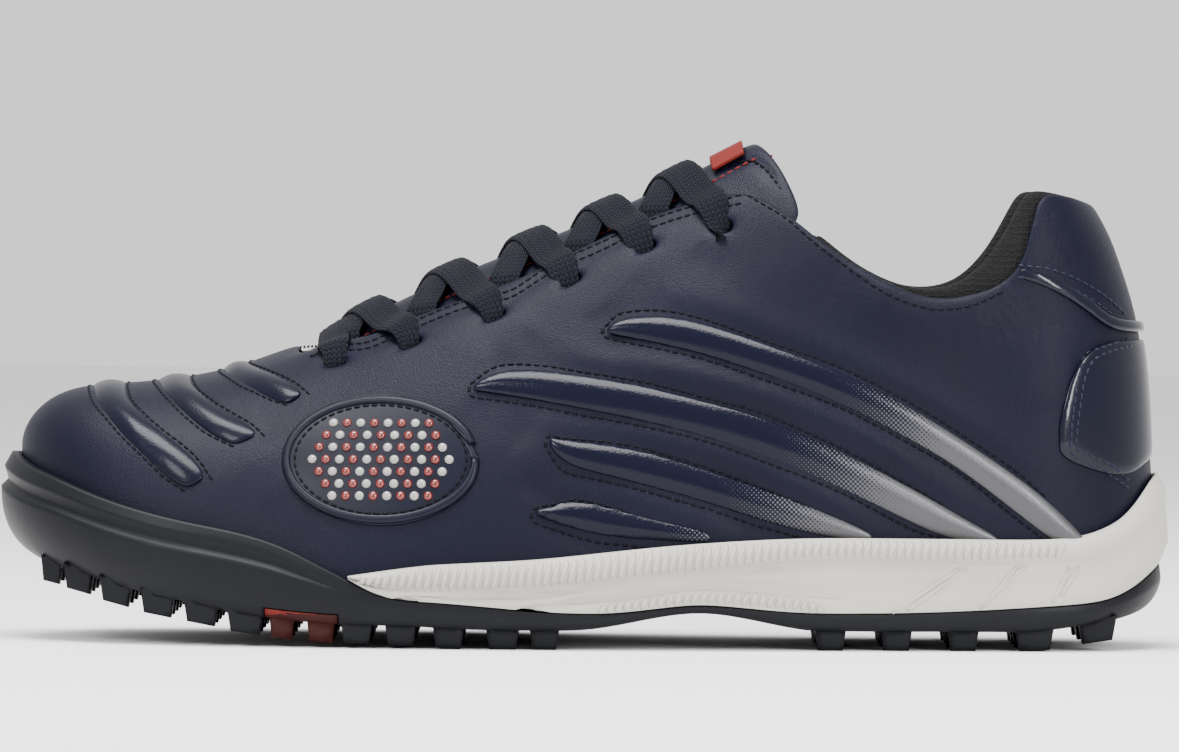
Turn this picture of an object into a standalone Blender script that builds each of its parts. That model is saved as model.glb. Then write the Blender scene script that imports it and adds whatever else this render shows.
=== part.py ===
"""A left turf shoe in metres: toe at -X, outer side at -Y, standing on its studs at Z = 0."""
import functools
import math

import bmesh
import bpy
from mathutils import Vector

# Driving sizes of the whole shoe
LENGTH = 0.290
BALL_WIDTH = 0.104
HEEL_HEIGHT = 0.110
TONGUE_HEIGHT = 0.1255
TOE_WALL_HEIGHT = 0.047
SOLE_HEIGHT = 0.0227

# Sole
STUD_HEIGHT = 0.0047
STUD_WIDTH = 0.0078
STUD_TAPER = 0.78
STUD_ROOT = 0.0012
SIDE_RIM = 0.0034
TOE_RIM = 0.0050
HEEL_RIM = 0.0037
BAND_HEIGHT = 0.0058
SEAM_STEP = 0.0004
INSERT_DEPTH = 0.0022
INSOLE_THICKNESS = 0.003
PLATE_INSET = 2.6
STUD_INSET = 1.45
SIDE_LIP = 0.62
HEEL_LIP = 1.10
HEEL_SEAT = 1.70
SEAT_START = 0.86
SEAT_LAST = 0.93
SEAT_END = 0.95

# Upper and what lies on it or in it
UPPER_WALL = 0.002
CLEARANCE = 0.0003
RIM_GAP = 0.0006
OVERLAY_LIFT = 0.0005
OVERLAY_EDGE = 0.0007
OVERLAY_STEP = 0.010
RIB_RISE = 0.0014
COUNTER_RISE = 0.0004
PATCH_RISE = 0.0006
EYELET_RADIUS = 0.0023
EDGE_STEP = 0.005
LINING_DEPTH = 0.038
LINING_PAD = 0.0050
LINING_GAP = 0.0005
TONGUE_THICKNESS = 0.0050
TONGUE_DROP = 0.0004
LACE_WIDTH = 0.0084
LACE_THICKNESS = 0.0019
LACE_START = 0.42
LACE_RISE = 0.0012
LACE_ARCH = 0.0004

# Shares of the length where the forms change
THROAT_FRONT = 0.256
THROAT_BACK = 0.6385
COLLAR_LOW = 0.80
HORN_TIP = 0.304
MIDSOLE_FRONT = 0.372
LEAN_START = 0.80
EYELET_SHARES = (0.288, 0.352, 0.423, 0.487, 0.550, 0.615)

# Upper's plan: share of length, half width and middle line as shares of the ball width
PLAN = (
    (0.00, 0.374, 0.050), (0.10, 0.402, 0.042), (0.20, 0.435, 0.028), (0.30, 0.463, 0.010),
    (0.36, 0.467, 0.000), (0.45, 0.447, -0.016), (0.55, 0.400, -0.034), (0.65, 0.362, -0.038),
    (0.75, 0.339, -0.026), (0.85, 0.327, -0.009), (1.00, 0.318, 0.000),
)
TOE_ROUND = 0.16
HEEL_ROUND = 0.12
TOE_BOX_ROUND = 0.063

# Section form: share of length, height power, width power, crown's shift as a share of the ball width
FORM = (
    (0.00, 5.0, 2.2, 0.00), (0.05, 3.5, 2.2, 0.01), (0.10, 2.9, 2.2, 0.02), (0.20, 2.4, 2.15, 0.05),
    (0.30, 2.2, 2.1, 0.075), (0.45, 2.05, 2.0, 0.065), (0.60, 2.1, 2.0, 0.045), (0.70, 2.4, 2.1, 0.02),
    (0.80, 2.8, 2.3, 0.00), (1.00, 3.0, 2.4, 0.00),
)

# Crown line over the foot: share of length, share of tongue height
CROWN = (
    (0.00, 0.496), (0.05, 0.498), (0.08, 0.500), (0.132, 0.509), (0.184, 0.527), (0.235, 0.565),
    (0.27, 0.602), (0.30, 0.629), (0.338, 0.673), (0.389, 0.729), (0.44, 0.779), (0.517, 0.857),
    (0.594, 0.942), (0.645, 1.002), (0.70, 1.06), (0.80, 1.13), (1.00, 1.18),
)

# Throat and collar edge: share of length, share of the rim's reference height
EDGE = (
    (0.256, 0.568), (0.29, 0.593), (0.315, 0.605), (0.34, 0.630), (0.384, 0.672), (0.416, 0.697),
    (0.438, 0.714), (0.471, 0.756), (0.513, 0.803), (0.543, 0.837), (0.585, 0.872), (0.618, 0.892),
    (0.6385, 0.894), (0.668, 0.865), (0.692, 0.835), (0.72, 0.812), (0.75, 0.791), (0.775, 0.781),
    (0.80, 0.777), (0.825, 0.786), (0.85, 0.811), (0.868, 0.845), (0.883, 0.900), (0.896, 0.972),
    (0.912, 1.019), (0.94, 1.021), (0.987, 1.000),
)

# Heel's lean: share of heel height, share of length
LEAN = (
    (0.36, 0.0), (0.44, 0.0035), (0.50, 0.0052), (0.60, 0.0080), (0.70, 0.0115), (0.76, 0.0165),
    (0.82, 0.0240), (0.87, 0.0315), (0.93, 0.0405), (1.00, 0.0560), (1.06, 0.0690),
)

# Collar lining's rim: share of length, share of the rim's reference height
LINING_EDGE = (
    (0.680, 0.861), (0.695, 0.848), (0.732, 0.813), (0.764, 0.803), (0.797, 0.808), (0.819, 0.824),
    (0.845, 0.882), (0.876, 0.984), (0.897, 1.027), (0.911, 1.036), (0.963, 1.028), (0.987, 1.020),
)

# Sole's levels above the studs: share of length, share of sole height
BOTTOM = (
    (0.00, 0.940), (0.02, 0.775), (0.037, 0.674), (0.0725, 0.555), (0.106, 0.427), (0.142, 0.317),
    (0.18, 0.235), (0.216, 0.141), (0.28, 0.060), (0.37, 0.026), (0.41, 0.0), (0.51, 0.0),
    (0.548, 0.110), (0.593, 0.212), (0.628, 0.163), (0.669, 0.035), (0.69, 0.0), (0.87, 0.0),
    (0.936, 0.100), (0.974, 0.190), (1.00, 0.410),
)
OUTSOLE_TOP = (
    (0.00, 1.828), (0.02, 1.678), (0.044, 1.580), (0.076, 1.423), (0.109, 1.286), (0.136, 1.198),
    (0.171, 1.106), (0.229, 0.974), (0.249, 0.872), (0.268, 0.736), (0.298, 0.555), (0.338, 0.308),
    (0.376, 0.286), (0.433, 0.229), (0.479, 0.178), (0.525, 0.168), (0.571, 0.255), (0.593, 0.292),
    (0.616, 0.273), (0.65, 0.220), (0.70, 0.182), (0.76, 0.190), (0.84, 0.229), (0.90, 0.280),
    (0.936, 0.310), (0.963, 0.410), (1.00, 0.710),
)
RIM_TOP = (
    (0.298, 0.564), (0.376, 0.700), (0.463, 0.760), (0.533, 0.863), (0.603, 0.947), (0.70, 1.004),
    (0.80, 1.000), (0.886, 0.995), (0.916, 1.018), (0.951, 1.150), (0.974, 1.339), (0.985, 1.560),
    (1.00, 1.700),
)
FOOTBED = (
    (0.00, 1.159), (0.05, 0.982), (0.10, 0.789), (0.15, 0.630), (0.20, 0.505), (0.30, 0.390),
    (0.40, 0.379), (0.50, 0.436), (0.60, 0.577), (0.70, 0.690), (0.80, 0.740), (1.00, 0.789),
)
ARCH_BAND = (
    (0.470, 0.0), (0.520, 0.065), (0.600, 0.160), (0.650, 0.145), (0.700, 0.070), (0.740, 0.0),
)

# Outsole wall from its lower to its upper edge: share of its height, then its inset in rims
# at the toe, beside the ball, beside the waist and heel, and at the back
OUTSOLE_WALL = (
    (0.00, 1.25, 1.32, 1.20, 1.95), (0.12, 0.64, 0.75, 0.90, 1.35), (0.28, 0.24, 0.30, 0.68, 0.92),
    (0.46, 0.02, 0.04, 0.55, 0.62), (0.65, 0.00, 0.00, 0.48, 0.46), (0.72, 0.36, 0.40, 0.46, 0.46),
    (0.86, 0.16, 0.12, 0.46, 0.50), (1.00, 0.55, 0.42, 0.52, 0.58),
)
WALL_PLACES = (0.00, 0.10, 0.23, 0.34, 0.90, 1.00)

# Shares of length of the sole's columns between its rounded ends
SOLE_SHARES = (
    0.105, 0.140, 0.175, 0.212, 0.249, 0.275, HORN_TIP, 0.322, 0.345, MIDSOLE_FRONT - 0.004,
    MIDSOLE_FRONT + 0.004, 0.415, 0.460, 0.510, 0.550, 0.593, 0.630, 0.680, 0.740, 0.795, 0.840,
    0.880,
)

# Midsole wall from its lower to its upper edge: inset in rims at the side and at the back
MIDSOLE_WALL = (
    (0.50, 0.62), (0.34, 0.26), (0.36, 0.08), (0.58, 0.00), (0.56, 0.06), (0.46, 0.26),
    (0.16, 0.12), (0.00, 0.28), (0.14, 0.52), (0.48, 0.78),
)

# Stud rows: share of length, stud's length as a share of the length, studs across, red
STUD_ROWS = (
    (0.049, 0.0175, 3, 0), (0.0735, 0.0255, 4, 0), (0.106, 0.0275, 4, 0), (0.142, 0.0290, 5, 0),
    (0.179, 0.0295, 5, 0), (0.2165, 0.0310, 5, 0), (0.2475, 0.0215, 5, 1), (0.2805, 0.0240, 5, 1),
    (0.3105, 0.0270, 5, 0), (0.3475, 0.0270, 5, 0), (0.3875, 0.0270, 5, 0), (0.4330, 0.0285, 5, 0),
    (0.4680, 0.0255, 5, 0), (0.7085, 0.0265, 4, 0), (0.7640, 0.0270, 4, 0), (0.8205, 0.0270, 2, 0),
    (0.8810, 0.0330, 4, 0), (0.9350, 0.0320, 3, 0),
)
FOREFOOT_INSERT = (0.2335, 0.2945, -0.60, 0.60)
HEEL_INSERT = (0.7900, 0.8500, -0.17, 0.17)
HEEL_INSERT_ROW = (0.8205, 0.0270, 2, 1)

# Side ribs: share of length, then upper and lower edge as shares of the side height
SIDE_RIBS = (
    (
        (0.518, 0.616, 0.600), (0.532, 0.652, 0.590), (0.567, 0.659, 0.567), (0.605, 0.631, 0.535),
        (0.656, 0.570, 0.477), (0.714, 0.498, 0.401), (0.773, 0.395, 0.294), (0.817, 0.301, 0.204),
        (0.862, 0.198, 0.081), (0.886, 0.128, 0.017), (0.906, 0.048, 0.023),
    ),
    (
        (0.406, 0.445, 0.427), (0.428, 0.494, 0.417), (0.463, 0.494, 0.398), (0.498, 0.478, 0.375),
        (0.550, 0.449, 0.343), (0.603, 0.402, 0.298), (0.650, 0.361, 0.242), (0.714, 0.265, 0.154),
        (0.773, 0.156, 0.048), (0.799, 0.101, 0.017), (0.830, 0.041, 0.017),
    ),
    (
        (0.471, 0.294, 0.265), (0.484, 0.288, 0.212), (0.515, 0.277, 0.184), (0.550, 0.257, 0.156),
        (0.603, 0.202, 0.105), (0.644, 0.154, 0.056), (0.685, 0.100, 0.017), (0.722, 0.041, 0.017),
    ),
    (
        (0.460, 0.081, 0.066), (0.476, 0.097, 0.041), (0.494, 0.112, 0.023), (0.515, 0.097, 0.004),
        (0.550, 0.062, -0.008), (0.585, 0.031, 0.001),
    ),
)

# Toe ribs from the outer end to the crown: front edge's share of length and of the rise to the
# crown, then the rear edge's, and on the crown only the two shares of length
TOE_RIBS = (
    (
        (0.165, 0.416, 0.183, 0.482), (0.148, 0.479, 0.172, 0.574), (0.130, 0.582, 0.159, 0.646),
        (0.111, 0.692, 0.141, 0.729), (0.097, 0.795, 0.124, 0.824), (0.084, 0.897, 0.111, 0.918),
        (0.078, 0.106),
    ),
    (
        (0.205, 0.628, 0.226, 0.660), (0.190, 0.677, 0.216, 0.718), (0.176, 0.733, 0.200, 0.784),
        (0.157, 0.836, 0.181, 0.869), (0.141, 0.942, 0.167, 0.944), (0.133, 0.161),
    ),
    (
        (0.249, 0.757, 0.263, 0.782), (0.235, 0.802, 0.252, 0.843), (0.222, 0.852, 0.240, 0.896),
        (0.209, 0.904, 0.228, 0.940), (0.195, 0.968, 0.215, 0.985), (0.189, 0.210),
    ),
)

# Heel overlays: share of length, then lower and upper edge as shares of the side height
HEEL_COUNTER = (
    (0.902, 0.261, 0.334), (0.908, 0.238, 0.425), (0.920, 0.217, 0.523), (0.936, 0.197, 0.570),
    (0.950, 0.185, 0.587), (0.962, 0.186, 0.592), (0.972, 0.204, 0.594), (0.990, 0.244, 0.594),
)
HEEL_STRAP = (
    (0.872, 0.772, 0.803), (0.886, 0.760, 0.795), (0.903, 0.739, 0.776), (0.922, 0.704, 0.744),
    (0.938, 0.664, 0.712), (0.950, 0.632, 0.672), (0.960, 0.619, 0.655), (0.990, 0.612, 0.644),
)

WRAP_START = 0.945

# Patch on the outer side: middle and half sizes, as shares of the length and the side height
PATCH = (0.329, 0.221, 0.084, 0.200)
PATCH_SECTORS = 16

TONGUE_FRONT = 0.240
TONGUE_BACK = 0.642
TONGUE_ROLL = 0.042
TONGUE_ROLL_POWER = 1.3
TONGUE_REACH = 0.74
TONGUE_ROOT_REACH = 0.40
TONGUE_ROWS = 16
TONGUE_COLUMNS = 9
LABEL_FRONT = 0.606
LABEL_BACK = 0.633
LABEL_REACH = 0.22
LABEL_THICKNESS = 0.0007
LINING_FRONT = 0.692

TOE_X = -LENGTH / 2 + TOE_RIM
HEEL_X = LENGTH / 2 - HEEL_RIM
WALL_CELLS = 8
THROAT_CELLS = 4
RIB_CELLS = 2
HALF_TURN = math.pi


@functools.lru_cache(maxsize=None)
def slopes(table, column):
    """Slopes at a table's rows that keep the curve through them monotone between rows."""
    steps = [
        (b[column] - a[column]) / (b[0] - a[0]) for a, b in zip(table, table[1:])
    ]
    inner = [
        0.0 if a * b <= 0 else 2 * a * b / (a + b) for a, b in zip(steps, steps[1:])
    ]
    return [steps[0]] + inner + [steps[-1]]


def curve(table, place, column=1):
    """Smooth value of a column at a place along the table's first column, held past its ends."""
    if place <= table[0][0]:
        return table[0][column]
    if place >= table[-1][0]:
        return table[-1][column]
    row = next(i for i in range(len(table)) if table[i + 1][0] >= place)
    low, high = table[row], table[row + 1]
    width = high[0] - low[0]
    t = (place - low[0]) / width
    slope = slopes(table, column)
    return (
        low[column] * (1 + 2 * t) * (1 - t) ** 2
        + high[column] * t * t * (3 - 2 * t)
        + width * slope[row] * t * (1 - t) ** 2
        + width * slope[row + 1] * t * t * (t - 1)
    )


def span(start, end, count):
    return [start + (end - start) * i / (count - 1) for i in range(count)]


def smooth_step(place, start, end):
    """0 before start, 1 after end, smooth between them."""
    t = min(max((place - start) / (end - start), 0.0), 1.0)
    return t * t * (3 - 2 * t)


def end_round(distance, radius, power):
    """Share of the full size at a distance from a rounded end."""
    t = min(max(1 - distance / radius, 0.0), 1.0)
    return (1 - t**power) ** (1 / power)


def level(table, share):
    """Height above the floor of one of the sole's levels."""
    return STUD_HEIGHT + SOLE_HEIGHT * curve(table, share)


def share_of(x):
    return x / LENGTH + 0.5


def turn_at(share):
    """Turn round the upper, 0 at its toe and half a turn at its heel, at a share of the length."""
    part = (share - share_of(TOE_X)) * LENGTH / (HEEL_X - TOE_X)
    return math.acos(1 - 2 * min(max(part, 0.0), 1.0))


@functools.lru_cache(maxsize=None)
def section(turn):
    """Station x, half width, middle, crown shift, lower and upper height and the two powers."""
    x = TOE_X + (HEEL_X - TOE_X) * (1 - math.cos(turn)) / 2
    share = share_of(x)
    rounding = end_round(x - TOE_X, TOE_ROUND * LENGTH, 2.1)
    rounding *= end_round(HEEL_X - x, HEEL_ROUND * LENGTH, 2.2)
    half = (BALL_WIDTH * curve(PLAN, share) + SIDE_FIT) * rounding
    middle = BALL_WIDTH * curve(PLAN, share, 2) + MIDDLE_FIT
    low = level(FOOTBED, share) + RIM_GAP
    crown = TONGUE_HEIGHT * curve(CROWN, share)
    top = TOE_WALL_HEIGHT + (crown - TOE_WALL_HEIGHT) * end_round(
        x - TOE_X, TOE_BOX_ROUND * LENGTH, 2
    )
    shift = BALL_WIDTH * curve(FORM, share, 3)
    return x, half, middle, shift, low, top, curve(FORM, share), curve(FORM, share, 2)


def lean(x, z):
    """How far forward the heel leans at this height."""
    weight = max((x + LENGTH / 2 - LEAN_START * LENGTH), 0.0) / (
        HEEL_X + LENGTH / 2 - LEAN_START * LENGTH
    )
    return LENGTH * curve(LEAN, z / HEEL_HEIGHT) * weight**1.5


def skin(turn, angle):
    """Point of the upper's outer face. Angle is 0 low on the outer side, half a turn on the inner."""
    x, half, middle, shift, low, top, height_power, width_power = section(turn)
    across = math.cos(angle)
    rise = max(math.sin(angle), 0.0) ** (2 / height_power)
    out = math.copysign(abs(across) ** (2 / width_power), across)
    z = low + (top - low) * rise
    return Vector((x - lean(x, z), middle + shift * rise - half * out, z))


def skin_normal(turn, angle):
    nudge = 0.002
    turn = min(max(turn, 0.02), HALF_TURN - 0.02)
    angle = min(max(angle, nudge), HALF_TURN - nudge)
    along = skin(turn + nudge, angle) - skin(turn - nudge, angle)
    around = skin(turn, angle + nudge) - skin(turn, angle - nudge)
    return along.cross(around).normalized()


def on_upper(turn, angle, lift):
    """Point at a distance out from the upper's outer face."""
    normal = skin_normal(turn, angle)
    if turn < 0.001 or turn > HALF_TURN - 0.001:
        normal = Vector((normal.x, 0, normal.z)).normalized()
    return skin(turn, angle) + normal * lift


def angle_at(turn, z):
    """Angle on the outer side where the upper's face has this height."""
    _, _, _, _, low, top, height_power, _ = section(turn)
    rise = min(max((z - low) / (top - low), 0.0), 1.0)
    return math.asin(rise ** (height_power / 2))


def side_z(height):
    """Height above the floor of a share of the side's height, between the sole and the heel's top."""
    sole = STUD_HEIGHT + SOLE_HEIGHT
    return sole + (HEEL_HEIGHT - sole) * height


def edge_z(table, share):
    """Height of an edge kept as shares of the tongue's height in front and the heel's behind."""
    behind = smooth_step(share, THROAT_BACK, COLLAR_LOW)
    return (TONGUE_HEIGHT + (HEEL_HEIGHT - TONGUE_HEIGHT) * behind) * curve(table, share)


def locate(share, height):
    """Turn and angle of the outer side's point at shares of the length and the side height."""
    x = (share - 0.5) * LENGTH
    z = side_z(height)
    station = x
    for _ in range(6):
        station = x + lean(station, z)
    turn = turn_at(share_of(station))
    return turn, angle_at(turn, z)


def on_vamp(share, rise):
    """Turn and angle of the outer side's point at a share of the length and of the crown's rise."""
    turn = turn_at(share)
    return turn, math.asin(rise ** (section(turn)[6] / 2))


def edge_angle(turn):
    """Angle of the throat and collar edge, carried on over the vamp in front of the throat."""
    share = share_of(section(turn)[0])
    if share >= THROAT_FRONT:
        return angle_at(turn, edge_z(EDGE, share))
    return angle_at(turn_at(THROAT_FRONT), edge_z(EDGE, THROAT_FRONT))


def plan_edge(ring):
    """Plan point of the upper's widest line, and the way out from it, at a turn round the shoe."""
    points = []
    for place in (ring - 0.001, ring, ring + 0.001):
        x, half, middle = section(math.acos(math.cos(place)))[:3]
        points.append(Vector((x, middle - math.copysign(half, math.sin(place)), 0)))
    tangent = points[2] - points[0]
    return points[1], Vector((tangent.y, -tangent.x, 0)).normalized()


def rim(ring):
    """Width of the sole's rim outside the upper."""
    to_toe = max(math.cos(ring), 0.0) ** 6
    to_heel = max(-math.cos(ring), 0.0) ** 6
    return SIDE_RIM + (TOE_RIM - SIDE_RIM) * to_toe + (HEEL_RIM - SIDE_RIM) * to_heel


def sole_point(ring, inset, z):
    """Point of the sole's side, moved in from its widest line by an inset in metres."""
    base, out = plan_edge(ring)
    point = base + out * (rim(ring) - inset)
    return Vector((point.x, point.y, z))


def beside_upper(ring, z, lift=None):
    """Point level with z that stands clear of the upper's outer face."""
    turn = math.acos(math.cos(ring))
    angle = angle_at(turn, z)
    if math.sin(ring) < 0:
        angle = HALF_TURN - angle
    point = on_upper(turn, angle, RIM_GAP if lift is None else lift)
    return Vector((point.x, point.y, z))


def fit_plan():
    """Additions to half width and middle that make the sole as wide as named, and centre it."""
    places = span(0.0, 1.0, 201)
    near = min(curve(PLAN, place, 2) - curve(PLAN, place) for place in places)
    far = max(curve(PLAN, place, 2) + curve(PLAN, place) for place in places)
    return BALL_WIDTH * (1 - far + near) / 2 - SIDE_RIM, -BALL_WIDTH * (near + far) / 2


SIDE_FIT, MIDDLE_FIT = fit_plan()


def paint(name, colour, roughness, metallic=0.0, coat=0.0):
    material = bpy.data.materials.new(name)
    material.use_nodes = True
    shader = material.node_tree.nodes["Principled BSDF"]
    shader.inputs["Base Color"].default_value = (*colour, 1)
    shader.inputs["Roughness"].default_value = roughness
    shader.inputs["Metallic"].default_value = metallic
    shader.inputs["Coat Weight"].default_value = coat
    material.diffuse_color = (*colour, 1)
    return material


def add_part(name, mesh_data, material):
    """Turns a bmesh into a named object of the scene, with its faces turned out."""
    bmesh.ops.remove_doubles(mesh_data, verts=mesh_data.verts, dist=0.00001)
    bmesh.ops.dissolve_degenerate(mesh_data, dist=0.000005, edges=mesh_data.edges)
    bmesh.ops.recalc_face_normals(mesh_data, faces=mesh_data.faces)
    mesh = bpy.data.meshes.new(name)
    mesh_data.to_mesh(mesh)
    mesh_data.free()
    mesh.materials.append(material)
    mesh.shade_smooth()
    mesh.set_sharp_from_angle(angle=math.radians(40))
    part = bpy.data.objects.new(name, mesh)
    bpy.context.scene.collection.objects.link(part)
    return part


def add_grid(bm, points):
    """Quads between rows of points. Returns the rows of vertices."""
    rows = [[bm.verts.new(point) for point in row] for row in points]
    for a, b in zip(rows, rows[1:]):
        for i in range(len(a) - 1):
            bm.faces.new((a[i], a[i + 1], b[i + 1], b[i]))
    return rows


def border(rows):
    """A grid's outer vertices in order."""
    right = [row[-1] for row in rows[1:-1]]
    left = [row[0] for row in rows[1:-1]]
    return rows[0] + right + rows[-1][::-1] + left[::-1]


def slab(name, top, bottom, material):
    """Closed solid between two grids of the same size."""
    bm = bmesh.new()
    upper_rows = add_grid(bm, top)
    lower_rows = add_grid(bm, bottom)
    over, under = border(upper_rows), border(lower_rows)
    for i in range(len(over)):
        bm.faces.new((over[i - 1], over[i], under[i], under[i - 1]))
    return add_part(name, bm, material)


def stations():
    """Turns of the upper's sections from toe to heel, with one at each eyelet."""
    first = turn_at(THROAT_FRONT)
    turns = span(0.0, first, 11)[:-1] + [first]
    for before, after in zip((THROAT_FRONT,) + EYELET_SHARES, EYELET_SHARES):
        if before != THROAT_FRONT:
            turns.append(turn_at((before + after) / 2))
        turns.append(turn_at(after))
    turns += [turn_at(share) for share in (THROAT_BACK, 0.668, 0.694, 0.72, 0.75, 0.775, 0.80, 0.825)]
    turns += [turn_at(share) for share in (0.85, 0.868, 0.883, 0.896)]
    return turns + span(turn_at(0.912), HALF_TURN, 6)


def wall_angles(turn):
    """Angles of the wall's rows, evenly far from the edge near it and spread evenly below."""
    steps = 48
    last = edge_angle(turn)
    samples = [skin(turn, last * (1 - i / steps)) for i in range(steps + 1)]
    lengths = [0.0]
    for a, b in zip(samples, samples[1:]):
        lengths.append(lengths[-1] + (b - a).length)
    step = min(EDGE_STEP, lengths[-1] / WALL_CELLS)
    rest = (lengths[-1] - 3 * step) / (WALL_CELLS - 3)
    wanted = [step * i for i in range(4)]
    wanted += [3 * step + rest * i for i in range(1, WALL_CELLS - 2)]
    angles = []
    for distance in wanted:
        i = next((i for i in range(steps) if lengths[i + 1] >= distance), steps - 1)
        part = (distance - lengths[i]) / max(lengths[i + 1] - lengths[i], 1e-9)
        angles.append(last * (1 - (i + min(part, 1.0)) / steps))
    return angles[::-1]


def punch(bm, vertex, radius):
    """Opens a round hole round a vertex of the sheet."""
    centre, normal = vertex.co.copy(), vertex.normal.copy()
    across = normal.cross(Vector((1, 0, 0))).normalized()
    along = across.cross(normal)

    def direction(point):
        flat = point - centre
        return math.atan2(flat.dot(across), flat.dot(along))

    around = {corner for face in vertex.link_faces for corner in face.verts if corner != vertex}
    around = sorted(around, key=lambda corner: direction(corner.co))
    bmesh.ops.delete(bm, geom=[vertex], context="VERTS")
    hole = []
    for corner in around:
        turned = direction(corner.co)
        offset = along * math.cos(turned) + across * math.sin(turned)
        hole.append(bm.verts.new(centre + offset * radius))
    for i in range(len(around)):
        bm.faces.new((around[i - 1], around[i], hole[i], hole[i - 1]))


def make_upper(material):
    """Leather upper: a sheet over the last, open at throat, collar and below, given its wall."""
    bm = bmesh.new()
    columns = []
    for turn in stations():
        angles = wall_angles(turn)
        outer = [bm.verts.new(skin(turn, angle)) for angle in angles]
        inner = [bm.verts.new(skin(turn, HALF_TURN - angle)) for angle in angles]
        columns.append((turn, outer, inner))
    first = turn_at(THROAT_FRONT) + 1e-6
    for (turn, outer, inner), (after, next_outer, next_inner) in zip(columns, columns[1:]):
        for wall, next_wall in ((outer, next_outer), (next_inner, inner)):
            for i in range(WALL_CELLS):
                bm.faces.new((wall[i], wall[i + 1], next_wall[i + 1], next_wall[i]))
    vamp = [column for column in columns if column[0] <= first]
    bridges = []
    for turn, outer, inner in vamp:
        last = edge_angle(turn)
        middle = span(last, HALF_TURN - last, THROAT_CELLS + 1)[1:-1]
        bridge = [bm.verts.new(skin(turn, angle)) for angle in middle]
        bridges.append([outer[-1]] + bridge + [inner[-1]])
    for a, b in zip(bridges, bridges[1:]):
        for i in range(THROAT_CELLS):
            bm.faces.new((a[i], a[i + 1], b[i + 1], b[i]))
    bmesh.ops.recalc_face_normals(bm, faces=bm.faces)
    bm.normal_update()
    wanted = {round(turn_at(share), 6) for share in EYELET_SHARES}
    holes = [
        wall[WALL_CELLS - 2]
        for turn, outer, inner in columns
        if round(turn, 6) in wanted
        for wall in (outer, inner)
    ]
    for vertex in holes:
        punch(bm, vertex, EYELET_RADIUS)
    bmesh.ops.remove_doubles(bm, verts=bm.verts, dist=0.00001)
    bmesh.ops.dissolve_degenerate(bm, dist=0.000005, edges=bm.edges)
    upper = add_part("upper", bm, material)
    outward = skin_normal(1.2, 0.6)
    nearest = upper.closest_point_on_mesh(skin(1.2, 0.6))
    wall = upper.modifiers.new("wall", "SOLIDIFY")
    wall.thickness = UPPER_WALL
    wall.offset = -1 if nearest[2].dot(outward) > 0 else 1
    wall.use_even_offset = True
    wall.use_quality_normals = True
    return upper


def sole_turns():
    """Turns of the sole's columns from toe to heel."""
    toe = span(0.0, turn_at(SOLE_SHARES[0]), 7)[:-1]
    heel = span(turn_at(0.915), HALF_TURN, 7)
    return toe + [turn_at(share) for share in SOLE_SHARES] + heel


def wall_inset(row, ring, share):
    """Inset of a row of the outsole's wall, in metres."""
    toe, side, waist, back = row[1:]
    table = tuple(zip(WALL_PLACES, (toe, side, side, waist, waist, back)))
    return curve(table, share) * rim(ring)


def outsole_profile(ring):
    """Points round one column of the outsole, from its underside round its wall to the footbed."""
    share = share_of(sole_point(ring, 0.0, 0.0).x)
    turn = math.acos(math.cos(ring))
    station = share_of(section(turn)[0])
    top = level(OUTSOLE_TOP, share)
    inner = rim(ring) - RIM_GAP
    edge_inset = wall_inset(OUTSOLE_WALL[0], ring, share)
    bottom = level(BOTTOM, share_of(sole_point(ring, edge_inset, 0).x))
    points = []
    for row in OUTSOLE_WALL:
        z = bottom + (top - bottom) * row[0]
        points.append(sole_point(ring, wall_inset(row, ring, share), z))
    to_heel = smooth_step(share, SEAT_START, SEAT_END)
    lip_inset = inner + (HEEL_LIP * HEEL_RIM - inner) * to_heel
    seat_inset = inner + SEAM_STEP + (HEEL_SEAT * HEEL_RIM - inner - SEAM_STEP) * to_heel
    if station < MIDSOLE_FRONT:
        footbed = level(FOOTBED, station)
        points.append(beside_upper(ring, top))
        step = SEAM_STEP if top < footbed else 0.0
        points.append(beside_upper(ring, footbed, RIM_GAP - step))
    else:
        points.append(sole_point(ring, lip_inset, top))
        points.append(sole_point(ring, seat_inset, level(OUTSOLE_TOP, min(station, SEAT_LAST))))
    under = sole_point(ring, PLATE_INSET * SIDE_RIM, 0)
    under.z = level(BOTTOM, share_of(under.x))
    return [under] + points


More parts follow.
